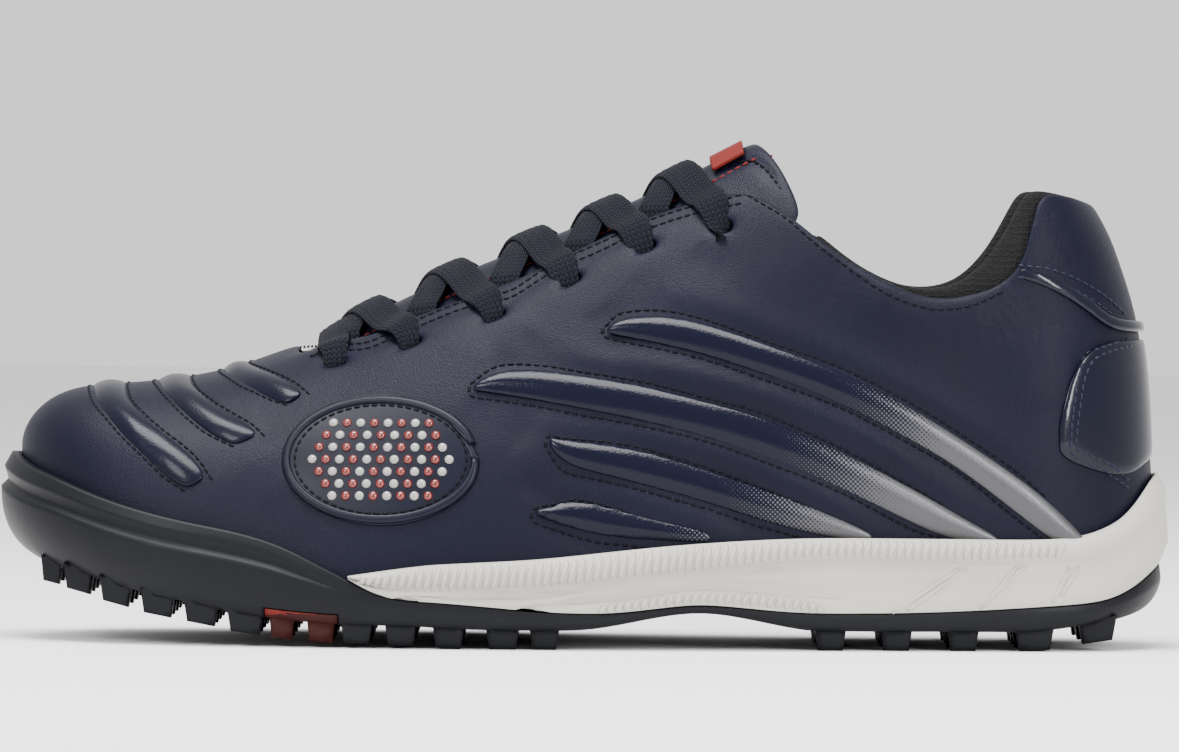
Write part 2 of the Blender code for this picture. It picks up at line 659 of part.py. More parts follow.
def midsole_profile(ring):
    """Points round one column of the midsole, from its lower outer edge up, over and back below."""
    share = share_of(sole_point(ring, 0.0, 0.0).x)
    turn = math.acos(math.cos(ring))
    station = share_of(section(turn)[0])
    low = level(OUTSOLE_TOP, share) + CLEARANCE
    high = level(RIM_TOP, share)
    band = min(BAND_HEIGHT, 0.5 * (high - low))
    arch = SOLE_HEIGHT * curve(ARCH_BAND, share)
    relief = smooth_step(arch, 0.0, 0.06 * SOLE_HEIGHT)
    plain = high - band - low
    arch = max(arch, 0.3 * plain)
    heights = (
        low, low + 0.5 * arch, low + arch, low + arch + min(SEAM_STEP, 0.1 * plain),
        low + 0.5 * (arch + plain), high - band - 0.05 * plain, high - band + 0.1 * band,
        high - 0.5 * band, high - 0.16 * band, high,
    )
    to_back = smooth_step(share, 0.93, 0.995)
    points = []
    for row, (z, (side, back)) in enumerate(zip(heights, MIDSOLE_WALL)):
        if row == 3:
            side = MIDSOLE_WALL[2][0] + (side - MIDSOLE_WALL[2][0]) * relief
        points.append(sole_point(ring, rim(ring) * (side + (back - side) * to_back), z))
    inner = rim(ring) - RIM_GAP
    points.append(beside_upper(ring, high))
    footbed = level(FOOTBED, station)
    if station < MIDSOLE_FRONT:
        footbed = max(footbed, low + 0.3 * (high - low))
    points.append(beside_upper(ring, footbed))
    to_heel = smooth_step(share, SEAT_START, SEAT_END)
    seat_inset = inner - CLEARANCE + (HEEL_SEAT * HEEL_RIM - inner + 2 * CLEARANCE) * to_heel
    side_lip = SIDE_LIP * SIDE_RIM
    lip_inset = side_lip + (HEEL_LIP * HEEL_RIM + CLEARANCE - side_lip) * to_heel
    inside = low
    if to_heel > 0:
        inside = level(OUTSOLE_TOP, min(station, SEAT_LAST)) + CLEARANCE
    points.append(sole_point(ring, seat_inset, inside))
    points.append(sole_point(ring, lip_inset, low))
    return points


def close_across(bm, outer, inner):
    """Faces across the shoe between matching vertices of its two sides."""
    for i in range(len(outer) - 1):
        bm.faces.new((outer[i], outer[i + 1], inner[i + 1], inner[i]))


def make_outsole(material):
    """Rubber cup: a plate under the foot whose wall rises round the toe."""
    bm = bmesh.new()
    turns = sole_turns()
    sides = []
    for mirror in (1, -1):
        columns = []
        for turn in turns:
            columns.append([bm.verts.new(point) for point in outsole_profile(mirror * turn)])
        for a, b in zip(columns, columns[1:]):
            for i in range(len(a) - 1):
                bm.faces.new((a[i], a[i + 1], b[i + 1], b[i]))
        sides.append(columns)
    for row in (0, -1):
        close_across(bm, [c[row] for c in sides[0]], [c[row] for c in sides[1]])
    return add_part("outsole", bm, material)


def make_midsole(material):
    """Foam midsole: a rim round the foot from one front tip to the other, closed by the footbed."""
    bm = bmesh.new()
    turns = [turn for turn in sole_turns() if turn >= turn_at(HORN_TIP) - 1e-9]
    front = turn_at(MIDSOLE_FRONT) + CLEARANCE / (LENGTH * 0.5)
    sides = []
    for mirror in (1, -1):
        columns = []
        for turn in turns:
            columns.append([bm.verts.new(point) for point in midsole_profile(mirror * turn)])
        bm.faces.new(columns[0])
        sides.append(columns)
    footbed, below = 11, 12
    whole = [turn > front for turn in turns]
    for columns in sides:
        for i, (a, b) in enumerate(zip(columns, columns[1:])):
            for row in range(len(a)):
                if row == footbed and whole[i]:
                    continue
                after = (row + 1) % len(a)
                bm.faces.new((a[row], a[after], b[after], b[row]))
    start = whole.index(True)
    for row in (footbed, below):
        close_across(bm, [c[row] for c in sides[0][start:]], [c[row] for c in sides[1][start:]])
    near, far = sides[0][start], sides[1][start]
    bm.faces.new((near[footbed], near[below], far[below], far[footbed]))
    return add_part("midsole", bm, material)


def make_insole(material):
    """Flat insole on the footbed, just inside the upper."""
    bm = bmesh.new()
    loops = {}
    for mirror in (1, -1):
        for raised in (0, 1):
            loops[mirror, raised] = []
            for turn in sole_turns():
                ring = mirror * turn
                z = section(turn)[4]
                point = beside_upper(ring, z + INSOLE_THICKNESS / 2, -UPPER_WALL - 3 * CLEARANCE)
                point.z = z + raised * INSOLE_THICKNESS
                loops[mirror, raised].append(bm.verts.new(point))
    for raised in (0, 1):
        close_across(bm, loops[1, raised], loops[-1, raised])
    for mirror in (1, -1):
        close_across(bm, loops[mirror, 0], loops[mirror, 1])
    return add_part("insole", bm, material)


def tongue_lift(turn, angle):
    """Tongue's outer face from the upper's: under the edges it is inside, in the throat it rises."""
    off_crown = abs(angle - HALF_TURN / 2)
    opening = HALF_TURN / 2 - edge_angle(turn)
    under = -(UPPER_WALL + 3 * CLEARANCE)
    return -TONGUE_DROP + (under + TONGUE_DROP) * smooth_step(off_crown, 0.15 * opening, 0.88 * opening)


def make_tongue(material):
    """Padded tongue from inside the vamp to above the collar."""
    top, bottom = [], []
    for along in span(0.0, 1.0, TONGUE_ROWS):
        upper_row, lower_row = [], []
        for across in span(-1.0, 1.0, TONGUE_COLUMNS):
            back = TONGUE_BACK + TONGUE_ROLL * abs(across) ** TONGUE_ROLL_POWER
            share = TONGUE_FRONT + (back - TONGUE_FRONT) * along
            widening = smooth_step(share, TONGUE_FRONT, 0.5)
            reach = TONGUE_ROOT_REACH + (TONGUE_REACH - TONGUE_ROOT_REACH) * widening
            angle = HALF_TURN / 2 + reach * across
            turn = turn_at(share)
            under = smooth_step(share, THROAT_FRONT + 0.012, 0.30)
            lift = -(UPPER_WALL + 3 * CLEARANCE)
            lift += (tongue_lift(turn, angle) - lift) * under
            end = min(1 - abs(across), 6 * (1 - along) + 0.12, 1.0)
            thick = TONGUE_THICKNESS * (0.36 + 0.64 * smooth_step(end, 0.0, 0.35))
            upper_row.append(on_upper(turn, angle, lift))
            lower_row.append(on_upper(turn, angle, lift - thick))
        top.append(upper_row)
        bottom.append(lower_row)
    return slab("tongue", top, bottom, material)


def make_label(material):
    """Plain label sewn on the tongue's crown."""
    top, bottom = [], []
    for share in span(LABEL_FRONT, LABEL_BACK, 5):
        angles = [HALF_TURN / 2 + LABEL_REACH * across for across in span(-1, 1, 5)]
        turn = turn_at(share)
        lifts = [tongue_lift(turn, angle) + 2 * CLEARANCE for angle in angles]
        bottom.append([on_upper(turn, a, lift) for a, lift in zip(angles, lifts)])
        top.append([on_upper(turn, a, lift + LABEL_THICKNESS) for a, lift in zip(angles, lifts)])
    return slab("tongue_label", top, bottom, material)


def make_lining(material):
    """Padded collar lining inside the upper, its rim just above the leather."""
    shares = [LINING_FRONT, 0.705, 0.724, 0.75, 0.775, 0.80, 0.825, 0.85, 0.868, 0.883, 0.896]
    turns = [turn_at(share) for share in shares] + span(turn_at(0.912), HALF_TURN, 6)
    outline = [(turn, 1) for turn in turns] + [(turn, -1) for turn in turns[-2::-1]]
    profile = ((0.0, 0.30), (0.09, 0.80), (0.30, 1.0), (0.62, 0.75), (1.0, 0.22))
    outer, inner = [], []
    for turn, side in outline:
        share = share_of(section(turn)[0])
        rim_height = edge_z(LINING_EDGE, share)
        near_end = smooth_step(share, LINING_FRONT - 0.004, LINING_FRONT + 0.03)
        outer_row, inner_row = [], []
        for down, pad in profile:
            angle = angle_at(turn, rim_height - down * LINING_DEPTH)
            if side < 0:
                angle = HALF_TURN - angle
            lift = -(UPPER_WALL + LINING_GAP)
            thick = LINING_PAD * pad * (0.35 + 0.65 * near_end)
            outer_row.append(on_upper(turn, angle, lift))
            inner_row.append(on_upper(turn, angle, lift - thick))
        outer.append(outer_row)
        inner.append(inner_row)
    return slab("collar_lining", outer, inner, material)


def overlay(name, rows, cells, material, rise, both_ends=True):
    """Domed overlay on the upper. Each row holds the turn and angle of its two edges."""
    top, bottom = [], []
    for i, (start, end) in enumerate(rows):
        to_end = min(i, len(rows) - 1 - i) if both_ends else i
        swell = 0.35 if to_end == 0 else 1.0
        upper_row, lower_row = [], []
        for across in span(0.0, 1.0, cells + 1):
            turn = start[0] + (end[0] - start[0]) * across
            angle = start[1] + (end[1] - start[1]) * across
            dome = math.sin(math.pi * across) * rise * swell
            upper_row.append(on_upper(turn, angle, OVERLAY_LIFT + OVERLAY_EDGE + dome))
            lower_row.append(on_upper(turn, angle, OVERLAY_LIFT))
        top.append(upper_row)
        bottom.append(lower_row)
    return slab(name, top, bottom, material)


def other_side(place):
    return place[0], HALF_TURN - place[1]


def refine(rows):
    """Adds rows so that an overlay's rows lie close enough to follow the upper."""
    refined = [rows[0]]
    for a, b in zip(rows, rows[1:]):
        gap = max((skin(*b[side]) - skin(*a[side])).length for side in (0, 1))
        count = math.ceil(gap / OVERLAY_STEP)
        for i in range(1, count + 1):
            row = []
            for side in (0, 1):
                turn = a[side][0] + (b[side][0] - a[side][0]) * i / count
                angle = a[side][1] + (b[side][1] - a[side][1]) * i / count
                row.append((turn, angle))
            refined.append(tuple(row))
    return refined


def make_side_ribs(material):
    """Four padded ribs that sweep from the side down to the heel, on each side."""
    for number, table in enumerate(SIDE_RIBS, start=1):
        rows = [(locate(share, high), locate(share, low)) for share, high, low in table]
        overlay(f"side_rib_{number}_outer", rows, RIB_CELLS, material, RIB_RISE)
        mirrored = [(other_side(a), other_side(b)) for a, b in rows]
        overlay(f"side_rib_{number}_inner", mirrored, RIB_CELLS, material, RIB_RISE)


def make_toe_ribs(material):
    """Three raised ribs across the vamp, foremost at the crown."""
    for number, table in enumerate(TOE_RIBS, start=1):
        half = [(on_vamp(row[0], row[1]), on_vamp(row[2], row[3])) for row in table[:-1]]
        crown = tuple((turn_at(share), HALF_TURN / 2) for share in table[-1])
        half = refine(half + [crown])
        rows = half + [(other_side(a), other_side(b)) for a, b in half[-2::-1]]
        overlay(f"toe_rib_{number}", rows, RIB_CELLS, material, RIB_RISE)


def make_heel_overlay(name, table, cells, material, rise):
    """Overlay that wraps round the heel from one side to the other."""
    turns = [turn_at(row[0]) for row in table if row[0] < WRAP_START]
    half = []
    for turn in turns + span(turn_at(WRAP_START), HALF_TURN, 8):
        share = share_of(section(turn)[0])
        ends = [angle_at(turn, side_z(curve(table, share, column))) for column in (1, 2)]
        half.append(((turn, ends[0]), (turn, ends[1])))
    rows = half + [(other_side(a), other_side(b)) for a, b in half[-2::-1]]
    return overlay(name, rows, cells, material, rise)


def make_patch(material):
    """Plain oval patch on the outer side, domed towards its middle."""
    share, height, half_length, half_height = PATCH
    bm = bmesh.new()
    layers = []
    for extra in (0.0, OVERLAY_EDGE):
        centre = locate(share, height)
        rise = PATCH_RISE if extra else 0.0
        rings = [[bm.verts.new(on_upper(*centre, OVERLAY_LIFT + extra + rise))]]
        for radius in (0.5, 1.0):
            loop = []
            for i in range(PATCH_SECTORS):
                swing = 2 * math.pi * i / PATCH_SECTORS
                place = locate(
                    share + half_length * radius * math.cos(swing),
                    height + half_height * radius * math.sin(swing),
                )
                lift = OVERLAY_LIFT + extra + rise * (1 - radius)
                loop.append(bm.verts.new(on_upper(*place, lift)))
            rings.append(loop)
        centre_vertex, first, second = rings[0][0], rings[1], rings[2]
        for i in range(PATCH_SECTORS):
            bm.faces.new((centre_vertex, first[i - 1], first[i]))
            bm.faces.new((first[i - 1], second[i - 1], second[i], first[i]))
        layers.append(second)
    for i in range(PATCH_SECTORS):
        bm.faces.new((layers[0][i - 1], layers[0][i], layers[1][i], layers[1][i - 1]))
    return add_part("side_patch", bm, material)


def strand(bm, start, end, lifts):
    """Flat lace from one place on the upper to another, at lifts along it."""
    count = len(lifts)
    rows = []
    for i, lift in enumerate(lifts):
        part = i / (count - 1)
        turn = start[0] + (end[0] - start[0]) * part
        angle = start[1] + (end[1] - start[1]) * part
        ahead = skin(turn + (end[0] - start[0]) * 0.01, angle + (end[1] - start[1]) * 0.01)
        point, normal = skin(turn, angle), skin_normal(turn, angle)
        along = (ahead - point).normalized()
        side = along.cross(normal).normalized() * LACE_WIDTH / 2
        low = point + normal * lift
        high = point + normal * (lift + LACE_THICKNESS)
        rows.append([low - side, low + side, high + side * 0.9, high - side * 0.9])
    rings = [[bm.verts.new(point) for point in row] for row in rows]
    for a, b in zip(rings, rings[1:]):
        for i in range(4):
            bm.faces.new((a[i - 1], a[i], b[i], b[i - 1]))
    bm.faces.new(rings[0])
    bm.faces.new(rings[-1])


def throat_place(share, extra):
    """Place on the outer side at an angle past the throat edge, towards the crown."""
    turn = turn_at(share)
    return turn, edge_angle(turn) + extra


def make_laces(material):
    """A bar across the first eyelets, then a crossing between each pair and the next."""
    over, raised = OVERLAY_LIFT, LACE_RISE
    bar = bmesh.new()
    start = throat_place(EYELET_SHARES[0], -0.20)
    strand(bar, start, other_side(start), (over, over, raised, raised, raised, raised, over, over))
    add_part("lace_bar", bar, material)
    for number, (front, back) in enumerate(zip(EYELET_SHARES, EYELET_SHARES[1:]), start=1):
        lifts = (raised, raised, raised, raised + LACE_ARCH, raised, over, over)
        begin = throat_place(front + LACE_START * (back - front), 0.10)
        finish = other_side(throat_place(back, -0.16))
        first = bmesh.new()
        strand(first, begin, finish, lifts)
        crossing = add_part(f"lace_crossing_{number}", first, material)
        second = bmesh.new()
        strand(second, other_side(begin), other_side(finish), lifts)
        other = add_part(f"lace_strand_{number}", second, material)
        add_boolean(crossing, "UNION", other)


def hide_tool(part):
    part.hide_render = True
    part.display_type = "WIRE"


def add_boolean(part, operation, other):
    cut = part.modifiers.new(operation.lower(), "BOOLEAN")
    cut.operation = operation
    cut.solver = "EXACT"
    cut.object = other
    hide_tool(other)


def stud_place(share, across):
    """Plan point under the sole, from -1 at its outer edge to 1 at its inner edge."""
    turn = turn_at(share)
    near = sole_point(turn, STUD_INSET * rim(turn), 0).y + STUD_WIDTH / 2
    far = sole_point(-turn, STUD_INSET * rim(turn), 0).y - STUD_WIDTH / 2
    return (near + far) / 2 + (far - near) / 2 * across


def add_stud(bm, x, y, length):
    """Tapered block under the sole whose ends follow the sole's underside."""
    corners = ((-1, -1), (1, -1), (1, 1), (-1, 1))
    loops = []
    for raised in (False, True):
        scale = 1.0 if raised else STUD_TAPER
        loop = []
        for a, b in corners:
            px = x + a * scale * length / 2
            py = y + b * scale * STUD_WIDTH / 2
            base = level(BOTTOM, share_of(px)) - STUD_HEIGHT
            loop.append(bm.verts.new((px, py, base + (STUD_HEIGHT + STUD_ROOT) * raised)))
        loops.append(loop)
    bm.faces.new(loops[0])
    bm.faces.new(loops[1])
    for i in range(4):
        bm.faces.new((loops[0][i - 1], loops[0][i], loops[1][i], loops[1][i - 1]))


def make_studs(name, rows, material, reach=1.0):
    bm = bmesh.new()
    for share, length, count, _ in rows:
        for across in span(-reach, reach, count):
            add_stud(bm, (share - 0.5) * LENGTH, stud_place(share, across), length * LENGTH)
    studs = add_part(name, bm, material)
    hide_tool(studs)
    return studs


def insert_block(name, box, grow, material):
    """Block under the sole between two shares of length and two shares of the half width."""
    start, end, near, far = box
    bm = bmesh.new()
    grids = []
    for raised in (False, True):
        grid = []
        for share in span(start, end, 5):
            x = (share - 0.5) * LENGTH
            x += grow if share > (start + end) / 2 + 1e-6 else 0
            x -= grow if share < (start + end) / 2 - 1e-6 else 0
            base = level(BOTTOM, share_of(x))
            z = base + INSERT_DEPTH + grow if raised else base - 0.5 * STUD_HEIGHT
            grid.append([Vector((x, BALL_WIDTH * near - grow, z)), Vector((x, BALL_WIDTH * far + grow, z))])
        grids.append(grid)
    return slab(name, grids[1], grids[0], material)


def make_sole(black, red, white):
    """Outsole with its black studs, and red stud inserts let into it."""
    outsole = make_outsole(black)
    blank = outsole.copy()
    blank.data = outsole.data.copy()
    blank.name = "outsole_blank"
    bpy.context.scene.collection.objects.link(blank)
    hide_tool(blank)
    black_rows = [row for row in STUD_ROWS if not row[3]]
    red_rows = [row for row in STUD_ROWS if row[3]]
    inserts = (
        ("forefoot_insert", FOREFOOT_INSERT, red_rows, 1.0),
        ("heel_insert", HEEL_INSERT, [HEEL_INSERT_ROW], 0.30),
    )
    for name, box, rows, reach in inserts:
        recess = insert_block(name + "_recess", box, CLEARANCE, black)
        add_boolean(outsole, "DIFFERENCE", recess)
        insert = insert_block(name, box, 0.0, red)
        add_boolean(insert, "INTERSECT", blank)
        add_boolean(insert, "UNION", make_studs(name + "_studs", rows, red, reach))
    add_boolean(outsole, "UNION", make_studs("black_studs", black_rows, black))
    make_midsole(white)


def build():
    for old in list(bpy.data.objects):
        bpy.data.objects.remove(old, do_unlink=True)
    navy = paint("navy leather", (0.018, 0.022, 0.050), 0.42)
    gloss = paint("glossy navy", (0.012, 0.014, 0.045), 0.12, coat=0.6)
    black = paint("black rubber", (0.012, 0.013, 0.016), 0.55)
    red = paint("red rubber", (0.32, 0.02, 0.015), 0.5)
    white = paint("off-white foam", (0.76, 0.75, 0.70), 0.55)
    cloth = paint("black lining", (0.008, 0.008, 0.009), 0.85)
    webbing = paint("navy lace", (0.017, 0.021, 0.040), 0.75)
    make_sole(black, red, white)
    make_insole(cloth)
    make_upper(navy)
    make_tongue(navy)
    make_lining(cloth)
    make_label(red)
    make_side_ribs(gloss)
    make_toe_ribs(gloss)
    make_heel_overlay("heel_counter", HEEL_COUNTER, 3, gloss, COUNTER_RISE)
    make_heel_overlay("heel_strap", HEEL_STRAP, 2, gloss, COUNTER_RISE)
    make_patch(gloss)
    make_laces(webbing)


build()
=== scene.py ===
"""Looks of a left turf shoe: leather upper, padded ribs, laces, foam midsole and rubber outsole."""
import math

import bpy
import numpy as np
from mathutils import Matrix, Vector, kdtree
from mathutils.bvhtree import BVHTree


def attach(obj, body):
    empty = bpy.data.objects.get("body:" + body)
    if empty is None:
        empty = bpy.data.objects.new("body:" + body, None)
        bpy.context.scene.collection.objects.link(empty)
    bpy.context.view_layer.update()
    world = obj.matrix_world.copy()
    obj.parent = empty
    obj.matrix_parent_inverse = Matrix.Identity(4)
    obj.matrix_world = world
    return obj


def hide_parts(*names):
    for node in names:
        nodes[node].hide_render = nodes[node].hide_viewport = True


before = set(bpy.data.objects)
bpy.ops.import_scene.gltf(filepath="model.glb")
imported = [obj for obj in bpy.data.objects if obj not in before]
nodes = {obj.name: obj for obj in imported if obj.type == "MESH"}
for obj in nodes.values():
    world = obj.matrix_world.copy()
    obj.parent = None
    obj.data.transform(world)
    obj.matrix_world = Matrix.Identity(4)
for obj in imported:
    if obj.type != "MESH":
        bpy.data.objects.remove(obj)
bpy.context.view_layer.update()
bpy.ops.object.select_all(action="DESELECT")

MM = 0.001

# The photograph's scale: its frame, its pixels in a millimetre, the pixel over the shoe's middle,
# the floor's pixel row, the column where the floor line was read and its slope in mm a pixel
FRAME_WIDTH, FRAME_HEIGHT = 1179, 752
PIXELS_PER_MM = 4.034
MIDDLE_PX, FLOOR_PX, LEVEL_PX = 585, 645, 960
FLOOR_SLOPE = 0.0022

OUTER, INNER = -1, 1
BOTH = (OUTER, INNER)

# Thread and stitch sizes
STITCH_LENGTH = 1.75 * MM
STITCH_RADIUS = 0.32 * MM
STITCH_SPACING = 2.15 * MM

# Lace sizes
LACE_WIDTH = 8.6 * MM
LACE_THICKNESS = 1.7 * MM
LACE_LIFT = 0.9 * MM

# Sides of the padded ribs: pixel column and rows of upper and lower edge, front to back
SIDE_RIBS = (
    (
        (606, 326, 333), (622, 314, 337), (663, 312, 345), (708, 322, 356), (767, 343, 376),
        (835, 367, 401), (904, 402, 437), (956, 434, 468), (1009, 469, 510), (1037, 493, 531),
    ),
    (
        (475, 382, 391), (501, 366, 395), (542, 366, 401), (583, 372, 409), (644, 382, 420),
        (706, 398, 435), (760, 413, 454), (835, 446, 484), (904, 483, 520), (935, 501, 530),
    ),
    (
        (551, 434, 446), (566, 437, 464), (603, 440, 473), (644, 447, 483), (706, 466, 501),
        (753, 483, 517), (801, 502, 530),
    ),
    (
        (538, 505, 514), (557, 501, 521), (578, 497, 528), (603, 502, 534), (644, 514, 538),
    ),
)
# Pads across the toe: front edge, its crown, rear edge, its crown, as shares of 290 and 110 mm
TOE_PADS = (
    (
        ((.165, .345), (.148, .374), (.130, .417), (.111, .461), (.097, .499), (.084, .535)), .078,
        ((.183, .372), (.172, .412), (.159, .442), (.141, .475), (.124, .511), (.111, .545)), .106,
    ),
    (
        ((.205, .443), (.190, .460), (.176, .481), (.157, .521), (.141, .560)), .133,
        ((.226, .468), (.216, .491), (.200, .513), (.181, .542), (.167, .569)), .161,
    ),
    (
        ((.249, .534), (.235, .545), (.222, .560), (.209, .574), (.195, .594)), .189,
        ((.263, .560), (.252, .582), (.240, .597), (.228, .608), (.215, .618)), .210,
    ),
)
# Pixel columns where each rib's silver dots begin and where it is wholly silver
SILVER_SPANS = ((826, 960), (762, 915), (706, 860), (650, 770))

# Top edge of the eyestay, then two stitch lines beside it, as pixels
EYESTAY_STITCHES = (
    ((318, 348), (339, 344), (369, 341), (398, 328), (449, 306), (487, 294), (512, 289), (551, 264),
     (600, 242), (635, 225), (684, 208), (735, 196)),
    ((314, 355), (339, 350), (369, 347), (398, 335), (449, 313), (487, 301), (512, 296), (551, 272),
     (600, 250), (635, 233), (684, 216), (735, 204)),
)
COLLAR_STITCHES = (
    (747, 197), (782, 218), (810, 242), (843, 267), (877, 290), (907, 303), (933, 308), (965, 304),
    (993, 292),
)
STRAP_STITCHES = (
    ((1014, 277), (1045, 281), (1075, 293), (1100, 309), (1119, 327)),
    ((1014, 265), (1045, 269), (1075, 281), (1100, 296), (1119, 312)),
)
COUNTER_STITCHES = (
    ((1122, 338), (1100, 344), (1080, 352), (1071, 372), (1066, 400), (1063, 430), (1064, 450),
     (1080, 460), (1100, 469), (1122, 484)),
    ((1122, 345), (1103, 350), (1086, 358), (1077, 375), (1072, 402), (1069, 430), (1070, 445),
     (1084, 453), (1104, 462), (1122, 476)),
)
PATCH_MIDDLE = (385, 455)
PATCH_HALF = (98, 61)

# Soft troughs and ridges of the upper: pixels along it, half width in mm, depth in mm (a ridge is
# negative), and the sides that it is on
CREASES = (
    (((830, 277), (870, 300), (905, 316), (945, 320), (985, 312), (1012, 292)), 7.0, -1.4, BOTH),
    (((800, 268), (840, 300), (890, 330), (945, 340), (1000, 330)), 6.0, 0.5, BOTH),
    (((1035, 215), (1050, 240), (1062, 262)), 7.0, -0.5, BOTH),
    (((1020, 330), (1030, 370), (1030, 410)), 9.0, -0.5, BOTH),
    (((600, 300), (612, 340), (600, 362)), 6.0, 0.5, BOTH),
    (((540, 330), (520, 352), (485, 366)), 6.0, 0.45, BOTH),
    (((470, 392), (500, 410), (548, 424)), 7.0, 0.55, BOTH),
    (((530, 470), (545, 486), (538, 500)), 7.0, 0.5, BOTH),
    (((520, 440), (535, 455), (548, 478)), 6.0, -0.35, BOTH),
    (((228, 470), (262, 500), (300, 520), (350, 545)), 9.0, 0.4, BOTH),
    (((262, 440), (280, 470), (300, 492)), 8.0, -0.35, BOTH),
    (((300, 372), (318, 392), (322, 416)), 6.0, 0.35, (INNER,)),
    (((640, 285), (700, 296), (760, 322)), 8.0, -0.4, BOTH),
    (((440, 330), (480, 345), (540, 316)), 6.0, -0.3, BOTH),
    (((60, 420), (90, 440), (130, 470), (180, 492)), 12.0, -0.3, BOTH),
    (((690, 246), (705, 262), (730, 275)), 5.0, 0.3, BOTH),
    (((620, 282), (640, 296), (668, 300)), 5.0, 0.3, BOTH),
    (((560, 352), (650, 366), (720, 380), (790, 402), (860, 432), (910, 462), (955, 495), (985, 520)),
     3.6, -1.1, BOTH),
    (((600, 425), (660, 434), (730, 452), (800, 480), (850, 505), (885, 526)), 3.2, -1.1, BOTH),
    (((600, 487), (650, 496), (700, 512), (740, 525)), 2.8, -0.9, BOTH),
    (((630, 296), (700, 304), (780, 330), (860, 366), (930, 400), (1000, 440), (1045, 480)), 4.0, -0.5,
     BOTH),
    (((1060, 262), (1052, 240), (1046, 215)), 5.0, 0.35, BOTH),
)

# Eyelets: x, y on the outer and on the inner side, z, then the throat edge's outer y, inner y and z
EYELETS = (
    (-61.5, -17.2, 32.8, 69.6, -8.4, 25.1, 74.3), (-42.9, -21.2, 33.8, 74.6, -13.2, 27.0, 80.5),
    (-22.3, -22.5, 31.3, 81.4, -15.1, 25.0, 88.1), (-3.8, -21.0, 26.4, 90.4, -13.7, 20.1, 97.2),
    (14.5, -20.3, 22.3, 98.7, -13.4, 16.2, 105.9), (33.3, -22.6, 21.6, 103.7, -16.7, 16.4, 111.9),
)


# ---------- placing by the photograph and by what carries a piece


def picture_point(px, py):
    """x and z in metres of a pixel of the photograph's side view."""
    x = (px - MIDDLE_PX) / PIXELS_PER_MM
    z = (FLOOR_PX - py) / PIXELS_PER_MM - FLOOR_SLOPE * (LEVEL_PX - px)
    return x * MM, z * MM


def surface_of(piece):
    """A search tree of a finished piece's faces."""
    mesh = piece.data
    corners = [vertex.co for vertex in mesh.vertices]
    return BVHTree.FromPolygons(corners, [tuple(face.vertices) for face in mesh.polygons])


def beside(surface, x, z, side):
    """Point and normal where a ray from the side meets the surface."""
    place, normal, _, _ = surface.ray_cast(Vector((x, side * 0.3, z)), Vector((0, -side, 0)))
    if place is None:
        place, normal, _, _ = surface.find_nearest(Vector((x, side * 0.012, z)))
    if normal.y * side < 0:
        normal = -normal
    return place, normal


def above(surface, x, y):
    """Point and normal where a ray from above meets the surface, or None."""
    place, normal, _, _ = surface.ray_cast(Vector((x, y, 0.3)), Vector((0, 0, -1)))
    if place is None:
        return None
    return place, normal if normal.z > 0 else -normal


def smooth_line(points, steps=12):
    """Points along a soft curve through the given ones."""
    points = [Vector(point) for point in points]
    ends = [2 * points[0] - points[1]] + points + [2 * points[-1] - points[-2]]
    line = []
    for a, b, c, d in zip(ends, ends[1:], ends[2:], ends[3:]):
        for i in range(steps):
            t = i / steps
            line.append(0.5 * (2 * b + (c - a) * t + (2 * a - 5 * b + 4 * c - d) * t * t
                               + (3 * b - a - 3 * c + d) * t ** 3))
    return line + [points[-1]]


def evenly(places, spacing):
    """(point, direction, normal) at even spacing along a line of (point, normal)."""
    lengths = [0.0]
    for (a, _), (b, _) in zip(places, places[1:]):
        lengths.append(lengths[-1] + (b - a).length)
    count = max(int(lengths[-1] / spacing), 1)
    found = []
    row = 0
    for i in range(count + 1):
        distance = lengths[-1] * i / count
        while row < len(places) - 2 and lengths[row + 1] < distance:
            row += 1
        (a, normal), (b, _) = places[row], places[row + 1]
        part = (distance - lengths[row]) / max(lengths[row + 1] - lengths[row], 1e-9)
        found.append((a.lerp(b, part), (b - a).normalized(), normal))
    return found


def trace(surface, pixels, side, spacing):
    """Even places on the surface along a line of pixels."""
    line = smooth_line([(px, py, 0) for px, py in pixels])
    places = [beside(surface, *picture_point(point.x, point.y), side) for point in line]
    return evenly(places, spacing)


# ---------- making pieces


def only(piece):
    """Makes this the one selected and active object."""
    bpy.ops.object.select_all(action="DESELECT")
    piece.select_set(True)
    bpy.context.view_layer.objects.active = piece


def apply_modifier(piece, name, kind, **settings):
    only(piece)
    modifier = piece.modifiers.new(name, kind)
    for key, value in settings.items():
        setattr(modifier, key, value)
    bpy.ops.object.modifier_apply(modifier=name)


def dress(node, name, levels, crease_angle=None, crease=1.0):
    """A merged copy of a CAD piece, paired into quads and rounded by subdivision."""
    piece = bpy.data.objects.new(name, nodes[node].data.copy())
    bpy.context.scene.collection.objects.link(piece)
    piece.data.materials.clear()
    only(piece)
    bpy.ops.object.mode_set(mode="EDIT")
    bpy.ops.mesh.select_all(action="SELECT")
    bpy.ops.mesh.customdata_custom_splitnormals_clear()
    bpy.ops.mesh.remove_doubles(threshold=0.02 * MM)
    bpy.ops.mesh.normals_make_consistent(inside=False)
    bpy.ops.mesh.tris_convert_to_quads(face_threshold=math.radians(50), shape_threshold=math.radians(70))
    if crease_angle is not None:
        bpy.ops.mesh.select_mode(type="EDGE")
        bpy.ops.mesh.select_all(action="DESELECT")
        bpy.ops.mesh.edges_select_sharp(sharpness=math.radians(crease_angle))
        bpy.ops.transform.edge_crease(value=crease)
    bpy.ops.object.mode_set(mode="OBJECT")
    if levels:
        apply_modifier(piece, "round", "SUBSURF", levels=levels, render_levels=levels)
    bpy.ops.object.shade_smooth()
    return piece


